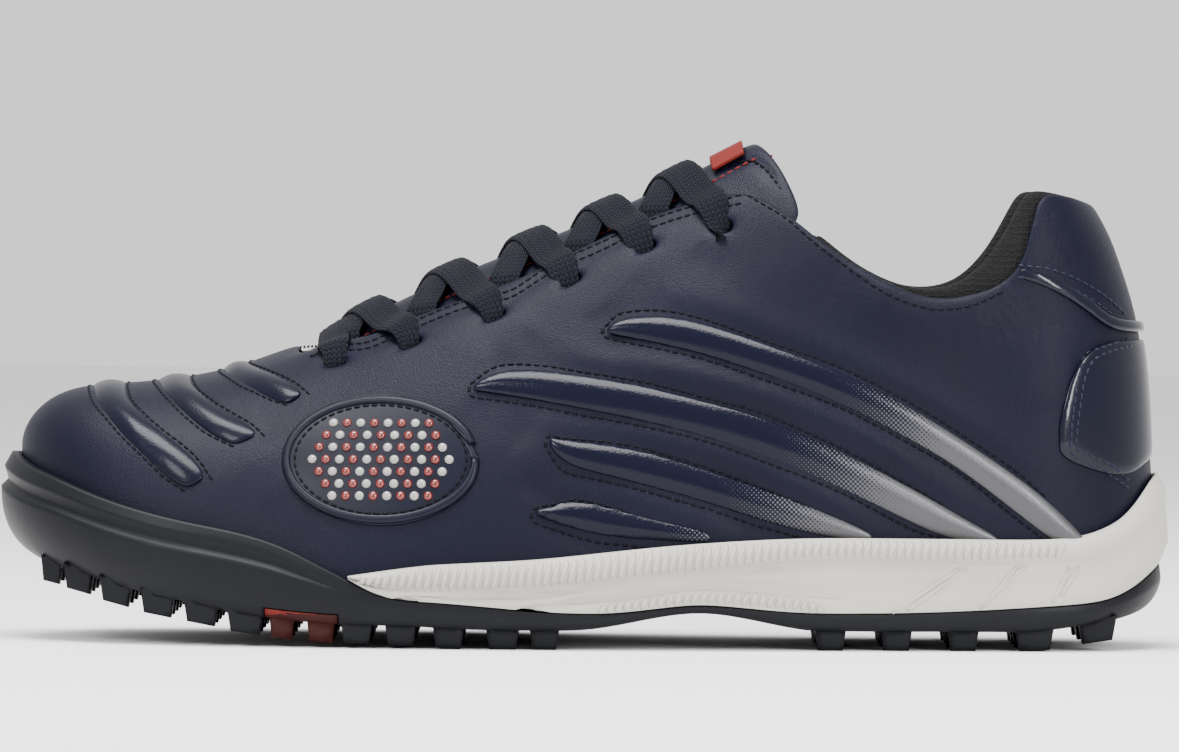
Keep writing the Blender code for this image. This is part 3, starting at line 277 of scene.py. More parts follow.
def finish_piece(piece, material, slot, *replaced):
    """Gives a piece its material and its body and hides the CAD pieces it stands for; its slot is not used.
    """
    if not piece.data.materials:
        piece.data.materials.append(material)
    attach(piece, "root")
    if replaced:
        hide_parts(*replaced)
    return piece


def points_of(piece):
    places = np.empty(len(piece.data.vertices) * 3)
    piece.data.vertices.foreach_get("co", places)
    return places.reshape(-1, 3)


def normals_of(piece):
    normals = np.empty(len(piece.data.vertices) * 3)
    piece.data.vertices.foreach_get("normal", normals)
    return normals.reshape(-1, 3)


def set_points(piece, places):
    piece.data.vertices.foreach_set("co", places.ravel())
    piece.data.update()


def sink(piece, surface, depth):
    """Moves a piece towards the surface that carries it."""
    places = points_of(piece)
    for i, place in enumerate(places):
        _, normal, _, _ = surface.find_nearest(Vector(place))
        places[i] = Vector(place) - normal * depth
    set_points(piece, places)


def press(piece, samples, half_width, depth):
    """Presses a soft trough along samples of (point, direction, normal), or raises a ridge."""
    tree = kdtree.KDTree(len(samples))
    for i, (place, _, _) in enumerate(samples):
        tree.insert(place, i)
    tree.balance()
    places, normals = points_of(piece), normals_of(piece)
    low = np.min([sample[0] for sample in samples], axis=0) - 3 * half_width
    high = np.max([sample[0] for sample in samples], axis=0) + 3 * half_width
    near = np.nonzero(((places > low) & (places < high)).all(axis=1))[0]
    last = len(samples) - 1
    for i in near:
        _, index, distance = tree.find(places[i])
        if distance > 2.5 * half_width or normals[i] @ samples[index][2] < 0.2:
            continue
        to_end = min(index, last - index) / max(0.25 * last, 1)
        fade = min(to_end, 1.0)
        places[i] -= normals[i] * depth * fade * math.exp(-((distance / half_width) ** 2))
    set_points(piece, places)


def mesh_piece(name, corners, faces):
    """A new object from corners and faces."""
    mesh = bpy.data.meshes.new(name)
    mesh.from_pydata([tuple(corner) for corner in corners], [], faces)
    mesh.update()
    piece = bpy.data.objects.new(name, mesh)
    bpy.context.scene.collection.objects.link(piece)
    only(piece)
    bpy.ops.object.mode_set(mode="EDIT")
    bpy.ops.mesh.select_all(action="SELECT")
    bpy.ops.mesh.normals_make_consistent(inside=False)
    bpy.ops.object.mode_set(mode="OBJECT")
    bpy.ops.object.shade_smooth()
    return piece


def repeat(name, pattern, places):
    """One joined mesh with a copy of a small pattern at each (point, direction, normal)."""
    corners = points_of(pattern)
    faces = [tuple(face.vertices) for face in pattern.data.polygons]
    all_corners, all_faces = [], []
    for i, (point, direction, normal) in enumerate(places):
        across = normal.cross(direction).normalized()
        along = across.cross(normal).normalized()
        turn = np.array((along, across, normal))
        all_corners.append(corners @ turn + np.array(point))
        start = i * len(corners)
        all_faces += [tuple(start + corner for corner in face) for face in faces]
    return mesh_piece(name, np.concatenate(all_corners), all_faces)


def pattern_of(kind, size, **settings):
    """A small primitive with its size in its mesh, to be repeated and then removed."""
    bpy.ops.object.select_all(action="DESELECT")
    getattr(bpy.ops.mesh, kind)(location=(0, 0, 0), **settings)
    pattern = bpy.context.object
    bpy.ops.object.mode_set(mode="EDIT")
    bpy.ops.mesh.select_all(action="SELECT")
    bpy.ops.transform.resize(value=size)
    bpy.ops.object.mode_set(mode="OBJECT")
    return pattern


def make_stitch():
    """One stitch: a short thread, thicker in the middle, lying along X."""
    stitch = pattern_of("primitive_uv_sphere_add", (1, 1, 1), segments=8, ring_count=5, radius=1)
    only(stitch)
    bpy.ops.object.mode_set(mode="EDIT")
    bpy.ops.mesh.select_all(action="SELECT")
    bpy.ops.transform.rotate(value=math.pi / 2, orient_axis="Y", center_override=(0, 0, 0))
    bpy.ops.transform.resize(value=(STITCH_LENGTH / 2, STITCH_RADIUS, STITCH_RADIUS))
    bpy.ops.object.mode_set(mode="OBJECT")
    return stitch


def sew(name, rows, material, slot, lift=0.05 * MM):
    """Stitches along rows of places."""
    stitch = make_stitch()
    places = []
    for row in rows:
        for point, direction, normal in row:
            places.append((point + normal * lift, direction, normal))
    piece = repeat(name, stitch, places)
    bpy.data.objects.remove(stitch)
    return finish_piece(piece, material, slot)


def swept(name, lines, section):
    """Closed strips swept along lines of (point, side, normal, width, height)."""
    corners, faces = [], []
    count = len(section)
    for line in lines:
        start = len(corners)
        for point, side, normal, width, height in line:
            corners += [point + side * (a * width) + normal * (b * height) for a, b in section]
        for i in range(len(line) - 1):
            for j in range(count):
                a, b = start + i * count + j, start + i * count + (j + 1) % count
                faces.append((a, b, b + count, a + count))
        faces.append(tuple(range(start, start + count)))
        last = start + (len(line) - 1) * count
        faces.append(tuple(range(last, last + count)))
    return mesh_piece(name, corners, faces)


# ---------- finishes


def wire(tree, value, socket):
    """Links a socket to a value's socket, or sets it."""
    if isinstance(value, bpy.types.NodeSocket):
        tree.links.new(value, socket)
    else:
        socket.default_value = value


def sums(tree, operation, *values):
    node = tree.nodes.new("ShaderNodeMath")
    node.operation = operation
    for value, socket in zip(values, node.inputs):
        wire(tree, value, socket)
    return node.outputs[0]


def texture(tree, kind, place, output=0, **settings):
    node = tree.nodes.new(kind)
    wire(tree, place, node.inputs["Vector"])
    for key, value in settings.items():
        if key in node.inputs:
            node.inputs[key].default_value = value
        else:
            setattr(node, key, value)
    return node.outputs[output]


def between(tree, value, low, high, to_low=0.0, to_high=1.0):
    """Value mapped from one range to another, held at its ends."""
    node = tree.nodes.new("ShaderNodeMapRange")
    for amount, socket in zip((value, low, high, to_low, to_high), node.inputs):
        wire(tree, amount, socket)
    return node.outputs[0]


def new_group(name, inputs, outputs):
    group = bpy.data.node_groups.new(name, "ShaderNodeTree")
    for label, value in inputs:
        socket = group.interface.new_socket(label, in_out="INPUT", socket_type="NodeSocketFloat")
        socket.default_value = value
    for label in outputs:
        group.interface.new_socket(label, in_out="OUTPUT", socket_type="NodeSocketFloat")
    entry = group.nodes.new("NodeGroupInput")
    end = group.nodes.new("NodeGroupOutput")
    place = group.nodes.new("ShaderNodeTexCoord").outputs["Object"]
    return group, entry.outputs, end.inputs, place


def grain_group():
    """Leather grain: fine cells with pores between, and a slow change over the hide."""
    group, given, put, place = new_group("leather grain", [("Cells", 1500.0)], ["Height", "Shade"])
    cells = texture(group, "ShaderNodeTexVoronoi", place, feature="DISTANCE_TO_EDGE")
    group.links.new(given["Cells"], cells.node.inputs["Scale"])
    fine = texture(group, "ShaderNodeTexNoise", place, Scale=2600.0, Detail=2.0)
    slow = texture(group, "ShaderNodeTexNoise", place, Scale=28.0, Detail=3.0)
    pores = between(group, cells, 0.0, 0.22)
    group.links.new(sums(group, "MULTIPLY_ADD", fine, 0.35, pores), put["Height"])
    group.links.new(between(group, slow, 0.3, 0.7), put["Shade"])
    return group


def speck_group():
    """Moulded rubber or foam: a soft pebble and fine specks."""
    group, given, put, place = new_group("moulded skin", [("Pebble", 420.0)], ["Height", "Shade"])
    pebble = texture(group, "ShaderNodeTexNoise", place, Detail=3.0)
    group.links.new(given["Pebble"], pebble.node.inputs["Scale"])
    slow = texture(group, "ShaderNodeTexNoise", place, Scale=45.0, Detail=2.0)
    group.links.new(pebble, put["Height"])
    group.links.new(between(group, slow, 0.3, 0.7), put["Shade"])
    return group


def halftone_group():
    """Silver dots that grow along X until they fill: 1 where it is silver."""
    group, given, put, place = new_group("silver dots", [("Start", 0.0), ("Full", 1.0)], ["Silver"])
    axes = group.nodes.new("ShaderNodeSeparateXYZ")
    group.links.new(place, axes.inputs[0])
    x, z = axes.outputs[0], axes.outputs[2]
    pitch = 1.15 * MM
    squares = []
    for combined in (sums(group, "ADD", x, z), sums(group, "SUBTRACT", x, z)):
        cell = sums(group, "FRACT", sums(group, "DIVIDE", combined, pitch))
        off = sums(group, "SUBTRACT", cell, 0.5)
        squares.append(sums(group, "MULTIPLY", off, off))
    distance = sums(group, "SQRT", sums(group, "ADD", *squares))
    grown = between(group, x, given["Start"], given["Full"], -0.05, 0.74)
    group.links.new(between(group, sums(group, "SUBTRACT", grown, distance), -0.05, 0.05), put["Silver"])
    return group


def weave_group():
    """Woven band: rows of slanted threads in columns, from the piece's own UV map in millimetres."""
    group, given, put, _ = new_group("woven band", [("Rows", 0.75)], ["Height"])
    place = group.nodes.new("ShaderNodeUVMap").outputs["UV"]
    axes = group.nodes.new("ShaderNodeSeparateXYZ")
    group.links.new(place, axes.inputs[0])
    across, along = axes.outputs[0], axes.outputs[1]
    column = sums(group, "PINGPONG", across, 0.62)
    slant = sums(group, "MULTIPLY_ADD", column, 1.3, along)
    cell = sums(group, "FRACT", sums(group, "MULTIPLY", slant, given["Rows"]))
    bump = sums(group, "SINE", sums(group, "MULTIPLY", cell, math.pi))
    edge = sums(group, "SINE", sums(group, "MULTIPLY", column, math.pi / 0.62))
    group.links.new(sums(group, "MULTIPLY_ADD", edge, 1.3, bump), put["Height"])
    return group


def knit_group():
    """Knitted lining: small open cells."""
    group, given, put, place = new_group("knitted mesh", [("Cells", 700.0)], ["Height"])
    cells = texture(group, "ShaderNodeTexVoronoi", place, feature="DISTANCE_TO_EDGE", Randomness=0.35)
    group.links.new(given["Cells"], cells.node.inputs["Scale"])
    group.links.new(between(group, cells, 0.02, 0.25, 1.0, 0.0), put["Height"])
    return group


def finish(name, colour, roughness, group=None, setting=None, bump=0.0, depth=0.0002,
           dark=0.8, spread=0.08, **sockets):
    """A material whose group shades its colour and roughness a little and gives its bump."""
    material = bpy.data.materials.new(name)
    material.use_nodes = True
    tree = material.node_tree
    shader = tree.nodes["Principled BSDF"]
    shader.inputs["Base Color"].default_value = (*colour, 1)
    shader.inputs["Roughness"].default_value = roughness
    for label, value in sockets.items():
        shader.inputs[label.replace("_", " ")].default_value = value
    if group:
        node = tree.nodes.new("ShaderNodeGroup")
        node.node_tree = group
        if setting:
            node.inputs[0].default_value = setting
        if "Shade" in node.outputs:
            mix = tree.nodes.new("ShaderNodeMix")
            mix.data_type = "RGBA"
            mix.inputs[6].default_value = (*(dark * part for part in colour), 1)
            mix.inputs[7].default_value = (*colour, 1)
            tree.links.new(node.outputs["Shade"], mix.inputs[0])
            tree.links.new(mix.outputs[2], shader.inputs["Base Color"])
            rough = between(tree, node.outputs["Shade"], 0.0, 1.0, roughness + spread, roughness)
            tree.links.new(rough, shader.inputs["Roughness"])
        relief = tree.nodes.new("ShaderNodeBump")
        relief.inputs["Strength"].default_value = bump
        relief.inputs["Distance"].default_value = depth
        tree.links.new(node.outputs["Height"], relief.inputs["Height"])
        tree.links.new(relief.outputs[0], shader.inputs["Normal"])
    return material


def silver_rib(name, span, base):
    """Glossy navy that turns to silver by growing dots."""
    material = finish(name, base, 0.18, GRAIN, 900.0, 0.1, Specular_IOR_Level=0.12,
                      Coat_Weight=0.08, Coat_Roughness=0.10)
    tree = material.node_tree
    shader = tree.nodes["Principled BSDF"]
    dots = tree.nodes.new("ShaderNodeGroup")
    dots.node_tree = DOTS
    for label, px in zip(("Start", "Full"), span):
        dots.inputs[label].default_value = picture_point(px, 0)[0]
    silver = dots.outputs["Silver"]
    mix = tree.nodes.new("ShaderNodeMix")
    mix.data_type = "RGBA"
    mix.inputs[6].default_value = (*base, 1)
    mix.inputs[7].default_value = (0.075, 0.075, 0.080, 1)
    tree.links.new(silver, mix.inputs[0])
    tree.links.new(mix.outputs[2], shader.inputs["Base Color"])
    tree.links.new(sums(tree, "MULTIPLY", silver, 0.85), shader.inputs["Metallic"])
    tree.links.new(between(tree, silver, 0.0, 1.0, 0.18, 0.42), shader.inputs["Roughness"])
    return material


GRAIN, SPECK, DOTS, WEAVE, KNIT = (
    grain_group(), speck_group(), halftone_group(), weave_group(), knit_group()
)
NAVY = (0.0030, 0.0031, 0.0112)
GLOSS = (0.0020, 0.0023, 0.0095)
navy_leather = finish("navy leather", NAVY, 0.40, GRAIN, 1500.0, 0.22, Specular_IOR_Level=0.11)
gloss_leather = finish("padded glossy leather", GLOSS, 0.24, GRAIN, 900.0, 0.10,
                       Specular_IOR_Level=0.12, Coat_Weight=0.08, Coat_Roughness=0.10)
patent_leather = finish("patent leather", GLOSS, 0.16, GRAIN, 500.0, 0.05,
                        Specular_IOR_Level=0.12, Coat_Weight=0.25, Coat_Roughness=0.05)
tongue_leather = finish("tongue leather", NAVY, 0.40, GRAIN, 1300.0, 0.22, Specular_IOR_Level=0.13)
lining_cloth = finish("black knitted lining", (0.0050, 0.0048, 0.0050), 0.85, KNIT, 700.0, 0.5,
                      depth=0.0004, Sheen_Weight=0.03, Specular_IOR_Level=0.15)
rubber = finish("black rubber", (0.0040, 0.0043, 0.0062), 0.42, SPECK, 900.0, 0.18,
                Specular_IOR_Level=0.14)
red_rubber = finish("red rubber", (0.120, 0.0080, 0.0045), 0.42, SPECK, 900.0, 0.15,
                    Specular_IOR_Level=0.18)
# Darker red for the inserts' low faces: painted shade where the studs stand in shade, not a different
# rubber
red_rubber_painted_shade = finish("red rubber with painted shade", (0.0280, 0.0030, 0.0022), 0.46, SPECK, 900.0, 0.15,
                         Specular_IOR_Level=0.16)
foam = finish("off-white foam", (0.430, 0.415, 0.375), 0.55, SPECK, 520.0, 0.25, dark=0.94,
              Specular_IOR_Level=0.30)
lace_cloth = finish("navy lace", (0.0032, 0.0038, 0.0105), 0.65, WEAVE, 0.75, 1.0, depth=0.0005,
                    Sheen_Weight=0.01, Specular_IOR_Level=0.14)
navy_thread = finish("navy thread", (0.0012, 0.0013, 0.0035), 0.55, Specular_IOR_Level=0.10)
light_thread = finish("bright navy thread", (0.0060, 0.0070, 0.0220), 0.40, Specular_IOR_Level=0.20)
red_thread = finish("red thread", (0.110, 0.0080, 0.0055), 0.60, Specular_IOR_Level=0.15)
red_gloss = finish("red nub", (0.120, 0.0060, 0.0030), 0.20, Coat_Weight=0.5)
white_gloss = finish("white nub", (0.250, 0.245, 0.235), 0.20, Coat_Weight=0.5)
patch_rubber = finish("patch rubber", (0.0030, 0.0034, 0.0105), 0.34, SPECK, 900.0, 0.10,
                      Specular_IOR_Level=0.16)


# ---------- the pieces


def make_upper():
    """Leather upper with its soft creases, its rib grooves and its collar padding."""
    upper = dress("upper", "leather_upper", 2)
    plain = surface_of(upper)
    outward = normals_of(upper)
    places = points_of(upper)
    centre = np.column_stack((places[:, 0], np.full(len(places), 0.002), np.full(len(places), 0.03)))
    facing = ((places - centre) * outward).sum(axis=1) > 0
    mesh = upper.data
    only(upper)
    bpy.ops.object.mode_set(mode="EDIT")
    bpy.ops.mesh.select_all(action="DESELECT")
    bpy.ops.object.mode_set(mode="OBJECT")
    chosen = np.array([facing[list(face.vertices)].all() for face in mesh.polygons])
    mesh.polygons.foreach_set("select", chosen)
    bpy.ops.object.mode_set(mode="EDIT")
    bpy.ops.mesh.select_mode(type="FACE")
    bpy.ops.mesh.subdivide(number_cuts=1, smoothness=0.0)
    bpy.ops.object.mode_set(mode="OBJECT")
    for pixels, half_width, depth, sides in CREASES:
        for side in sides:
            press(upper, trace(plain, pixels, side, 2 * MM), half_width * MM, depth * MM)
    for side in BOTH:
        for row in rib_edges(plain, side, 1.5 * MM, 3.5):
            press(upper, row, 1.6 * MM, 0.55 * MM)
        for pixels in COUNTER_STITCHES[:1]:
            press(upper, trace(plain, pixels, side, 1.5 * MM), 2.0 * MM, 0.35 * MM)
        press(upper, trace(plain, EYESTAY_STITCHES[1], side, 1.5 * MM), 2.4 * MM, 0.35 * MM)
    bpy.ops.object.shade_smooth()
    return finish_piece(upper, navy_leather, "navy_leather", "upper")


def rib_edges(surface, side, spacing, beyond):
    """Even places round each side rib, a little beyond its edge, in pixels."""
    rows = []
    for table in SIDE_RIBS:
        high = [(px, top - beyond) for px, top, _ in table]
        low = [(px, bottom + beyond) for px, _, bottom in table]
        tip = (table[0][0] - 1.5 * beyond, (table[0][1] + table[0][2]) / 2)
        rows.append(trace(surface, [tip] + high, side, spacing))
        rows.append(trace(surface, [tip] + low, side, spacing))
    return rows


def make_ribs(surface):
    """Padded ribs on both sides, sewn along their edges."""
    for number, span in enumerate(SILVER_SPANS, start=1):
        material = silver_rib(f"rib {number} navy to silver", span, GLOSS)
        for side in ("outer", "inner"):
            pad = dress(f"side_rib_{number}_{side}", f"rib_pad_{number}_{side}", 3)
            run_under(pad, SIDE_RIBS[number - 1])
            sink(pad, surface, 0.85 * MM)
            finish_piece(pad, material, "gloss_navy", f"side_rib_{number}_{side}")
    for side, name in ((OUTER, "outer"), (INNER, "inner")):
        rows = rib_edges(surface, side, STITCH_SPACING, 2.6)
        sew(f"rib_stitches_{name}", rows, navy_thread, "lace_webbing")


def run_under(pad, table):
    """Lets a rib's rear end run on under the top of the midsole."""
    ends = [picture_point(px, (top + bottom) / 2) for px, top, bottom in table[-3:]]
    along = np.array((ends[-1][0] - ends[0][0], 0, ends[-1][1] - ends[0][1]))
    along /= np.linalg.norm(along)
    places = points_of(pad)
    x = places[:, 0]
    share = (x - x.min()) / (x.max() - x.min())
    places += np.outer(np.clip((share - 0.72) / 0.28, 0, 1) ** 1.5 * 6.5 * MM, along)
    set_points(pad, places)


def make_toe_pads(surface):
    """Glossy pads across the vamp with stitches on both their edges."""
    rows = []
    for number, edges in enumerate(TOE_PADS, start=1):
        pad = dress(f"toe_rib_{number}", f"toe_pad_{number}", 3)
        sink(pad, surface, 0.85 * MM)
        finish_piece(pad, gloss_leather, "navy_leather", f"toe_rib_{number}")
        for edge, crown, beyond in zip(edges[0::2], edges[1::2], (-0.8 * MM, 0.8 * MM)):
            rows.append(pad_edge(surface, edge, crown, beyond))
    sew("toe_stitches", rows, navy_thread, "lace_webbing")


def pad_edge(surface, edge, crown, beyond):
    """A stitch row along one edge of a pad, from its outer end over the crown to its inner end."""
    length, height = 290 * MM, 110 * MM
    sides = {}
    for side in BOTH:
        sides[side] = [
            beside(surface, (share - 0.5) * length + beyond, rise * height, side)[0]
            for share, rise in edge
        ]
    top = above(surface, (crown - 0.5) * length + beyond, 4 * MM)[0]
    line = []
    for point in smooth_line(sides[OUTER] + [top] + sides[INNER][::-1], 8):
        place, normal, _, _ = surface.find_nearest(point)
        line.append((place, normal))
    return evenly(soften(line, 2), STITCH_SPACING)


def soften(line, rounds):
    """Evens out a line of (point, normal)."""
    for _ in range(rounds):
        middle = [
            ((a[0] + 2 * b[0] + c[0]) / 4, (a[1] + 2 * b[1] + c[1]).normalized())
            for a, b, c in zip(line, line[1:], line[2:])
        ]
        line = [line[0]] + middle + [line[-1]]
    return line


def make_heel(surface):
    """Patent counter and piping round the heel, with double stitching."""
    counter = dress("heel_counter", "heel_patent_panel", 3)
    sink(counter, surface, 0.7 * MM)
    finish_piece(counter, patent_leather, "gloss_navy", "heel_counter")
    piping = dress("heel_strap", "heel_piping", 3)
    sink(piping, surface, 0.6 * MM)
    finish_piece(piping, patent_leather, "gloss_navy", "heel_strap")
    carried = surface_of(counter)
    rows = []
    for side in BOTH:
        rows += [trace(surface, pixels, side, STITCH_SPACING) for pixels in STRAP_STITCHES]
        for pixels in COUNTER_STITCHES:
            rows.append(settle(trace(surface, pixels, side, STITCH_SPACING), carried))
    sew("heel_stitches", rows, light_thread, "lace_webbing")


def settle(row, surface, reach=3 * MM):
    """Moves a row's places out onto a second surface that lies over the first."""
    settled = []
    for point, direction, normal in row:
        place, _, _, _ = surface.ray_cast(point + normal * reach, -normal, 2 * reach)
        settled.append((place if place else point, direction, normal))
    return settled


def make_collar():
    """Padded black lining round the collar."""
    lining = dress("collar_lining", "collar_padding", 2)
    finish_piece(lining, lining_cloth, "lining_cloth", "collar_lining")
    insole = dress("insole", "cloth_insole", 2, 40)
    finish_piece(insole, lining_cloth, "lining_cloth", "insole")


def make_tongue():
    """Padded leather tongue with its stitches and its plain label."""
    tongue = dress("tongue", "padded_tongue", 3)
    surface = surface_of(tongue)
    rows = []
    for share in (-0.62, 0.62):
        line = []
        for step in range(60):
            x = (-64 + step * 1.85) * MM
            middle = 4.5 * MM - 0.045 * (x + 0.03)
            found = above(surface, x, middle + share * 17 * MM)
            if found:
                line.append(found)
        rows.append(evenly(soften(line, 3), STITCH_SPACING))
    for row in rows:
        press(tongue, row, 1.8 * MM, 0.5 * MM)
    finish_piece(tongue, tongue_leather, "navy_leather", "tongue")
    sew("tongue_stitches", rows, red_thread, "lace_webbing", lift=-0.25 * MM)
    rim = ((706, 176), (726, 165), (745, 160), (758, 165), (770, 178), (781, 194))
    rows = [trace(surface, rim, side, STITCH_SPACING) for side in BOTH]
    for row in rows:
        press(tongue, row, 1.8 * MM, 0.6 * MM)
    sew("tongue_rim_stitches", rows, navy_thread, "lace_webbing", lift=-0.35 * MM)
    label = dress("tongue_label", "sewn_label", 2, 40)
    finish_piece(label, red_thread, "red_cloth", "tongue_label")
    return tongue


def make_patch(surface):
    """Oval patch with a rolled rim, stitches and a field of small domed nubs."""
    patch = dress("side_patch", "oval_patch", 3)
    sink(patch, surface, 0.7 * MM)
    finish_piece(patch, patch_rubber, "gloss_navy", "side_patch")
    carried = surface_of(patch)
    ring = []
    for scale, steps in ((0.955, 120), (0.865, 120)):
        pixels = []
        for i in range(steps + 1):
            swing = 2 * math.pi * i / steps
            pixels.append((PATCH_MIDDLE[0] + PATCH_HALF[0] * scale * math.cos(swing),
                           PATCH_MIDDLE[1] + PATCH_HALF[1] * scale * math.sin(swing)))
        places = [beside(carried, *picture_point(*pixel), OUTER) for pixel in pixels]
        ring.append(places)
    line = []
    for point, direction, normal in evenly(ring[0], 1.2 * MM):
        line.append((point, normal.cross(direction).normalized(), normal, 1.15 * MM, 0.7 * MM))
    line[-1] = line[0]
    half_round = ((-1, -0.3), (-0.9, 0.45), (-0.5, 0.87), (0, 1), (0.5, 0.87), (0.9, 0.45), (1, -0.3))
    rim = swept("patch_rim", [line], half_round)
    finish_piece(rim, patch_rubber, "gloss_navy")
    sew("patch_stitches", [evenly(ring[1], STITCH_SPACING)[:-1]], navy_thread, "lace_webbing")
    nubs = {0: [], 1: []}
    for row in range(-4, 5):
        for column in range(-6, 7):
            px = PATCH_MIDDLE[0] + (column + 0.5 * (row % 2)) * 13.5
            py = PATCH_MIDDLE[1] + row * 11.8
            off = math.hypot((px - PATCH_MIDDLE[0]) / PATCH_HALF[0], (py - PATCH_MIDDLE[1]) / PATCH_HALF[1])
            if off < 0.76:
                point, normal = beside(carried, *picture_point(px, py), OUTER)
                nubs[(column + row) % 2].append((point, Vector((1, 0, 0)), normal))
    dome = pattern_of("primitive_uv_sphere_add", (1.15 * MM, 1.15 * MM, 0.75 * MM), segments=16,
                      ring_count=8, radius=1)
    for kind, material in ((0, red_gloss), (1, white_gloss)):
        piece = repeat(("red_nubs", "white_nubs")[kind], dome, nubs[kind])
        finish_piece(piece, material, "gloss_navy")
    bpy.data.objects.remove(dome)


LACE_SECTION = tuple(
    (math.cos(turn) * (1.0 - 0.06 * abs(math.sin(6 * turn))) * 0.5,
     0.5 * math.copysign(abs(math.sin(turn)) ** 0.55, math.sin(turn)) * (1 + 0.10 * math.sin(12 * turn)))
    for turn in (2 * math.pi * i / 28 for i in range(28))
)


def lace_line(surface, start, end, hidden_start, arch):
    """Places of one flat strand in plan from start to end, laid on what is below it."""
    steps = 34
    places = []
    for i in range(steps + 1):
        part = i / steps
        plan = start.lerp(end, part)
        found = above(surface, plan.x, plan.y)
        if found is None:
            found = (Vector((plan.x, plan.y, end.z)), Vector((0, 0, 1)))
        places.append(found)
    places = soften(places, 7)
    line = []
    for i, (point, normal) in enumerate(places):
        part = i / steps
        lift = LACE_LIFT + LACE_THICKNESS / 2 + arch * math.sin(math.pi * part) ** 2
        width = LACE_WIDTH
        if hidden_start:
            lift -= 5.0 * MM * max(1 - part / 0.12, 0.0)
        near = max((part - 0.86) / 0.14, 0.0)
        far = 0.0 if hidden_start else max((0.14 - part) / 0.14, 0.0)
        end_on = max(near, far)
        lift += (0.6 * math.sin(math.pi * end_on) - 4.2 * end_on ** 3) * MM
        width *= 1 - 0.42 * end_on ** 1.5
        line.append([point + normal * lift, normal, width])
    strip = []
    for i, (point, normal, width) in enumerate(line):
        ahead = line[min(i + 1, steps)][0] - line[max(i - 1, 0)][0]
        side = ahead.cross(normal).normalized()
        up = side.cross(ahead).normalized()
        strip.append((point, side, up, width, LACE_THICKNESS * (1 + 0.5 * (LACE_WIDTH / width - 1))))
    return strip


def woven(name, lines):
    """Flat woven strands with a UV map in millimetres: across, then along."""
    piece = swept(name, lines, LACE_SECTION)
    corners = []
    for line in lines:
        along = 0.0
        for i, row in enumerate(line):
            if i:
                along += (row[0] - line[i - 1][0]).length / MM
            corners += [(LACE_SECTION[j][0] * row[3] / MM, along) for j in range(len(LACE_SECTION))]
    layer = piece.data.uv_layers.new(name="weave")
    for loop in piece.data.loops:
        layer.data[loop.index].uv = corners[loop.vertex_index]
    return piece


def make_laces(upper, tongue):
    """A bar over the first eyelets and five crossings, each strand ending in its eyelet."""
    both = []
    polygons = []
    for piece in (upper, tongue):
        start = len(both)
        both += [vertex.co for vertex in piece.data.vertices]
        polygons += [tuple(start + i for i in face.vertices) for face in piece.data.polygons]
    surface = BVHTree.FromPolygons(both, polygons)
    x, outer, inner, z = (value * MM for value in EYELETS[0][:4])
    bar = woven("lace_bar_woven", [lace_line(surface, Vector((x, outer, z)), Vector((x, inner, z)),
                                             False, 0.3 * MM)])
    finish_piece(bar, lace_cloth, "lace_webbing", "lace_bar")
    for number, (front, back) in enumerate(zip(EYELETS, EYELETS[1:]), start=1):
        start_x = (front[0] + 0.04 * (back[0] - front[0])) * MM
        lines = []
        for side in (0, 1):
            edge = front[4 + side] * MM
            start = Vector((start_x, edge * 1.0, back[3] * MM))
            end = Vector((back[0] * MM, back[2 - side] * MM, back[3] * MM))
            lines.append(lace_line(surface, start, end, True, (1.6 if side else 0.5) * MM))
        pair = woven(f"lace_pair_{number}", lines)
        finish_piece(pair, lace_cloth, "lace_webbing", f"lace_crossing_{number}")


HALF_ROUND = ((-1, -0.5), (-0.85, 0.4), (-0.4, 0.9), (0.4, 0.9), (0.85, 0.4), (1, -0.5))


def rope_band(surface, high, low, spacing, lean, side):
    """Slanted rope ribs between two lines of pixels."""
    tops = [point for point, _, _ in trace(surface, high, side, spacing)]
    lines = []
    lows = smooth_line([(px, py, 0) for px, py in low])
    highs = smooth_line([(px, py, 0) for px, py in high])
    for top in tops[1:-1]:
        px = top.x / MM * PIXELS_PER_MM + MIDDLE_PX
        above_row = np.interp(px, [p.x for p in highs], [p.y for p in highs])
        below_row = np.interp(px, [p.x for p in lows], [p.y for p in lows])
        strip = []
        for i in range(7):
            part = i / 6
            column = px + lean * (part - 0.5)
            row = below_row + (above_row - below_row) * part
            point, normal = beside(surface, *picture_point(column, row), side)
            strip.append((point, normal))
        placed = []
        for i, (point, normal) in enumerate(strip):
            ahead = strip[min(i + 1, 6)][0] - strip[max(i - 1, 0)][0]
            across = ahead.cross(normal).normalized()
            full = math.sin(math.pi * (0.12 + 0.76 * i / 6)) ** 0.5
            placed.append((point, across, normal, 0.74 * MM * full, 0.95 * MM * full))
        lines.append(placed)
    return lines


def inside(surface, place):
    """Whether the surface stands on both sides of a place."""
    return all(surface.ray_cast(place, Vector((0, side, 0)))[0] for side in BOTH)


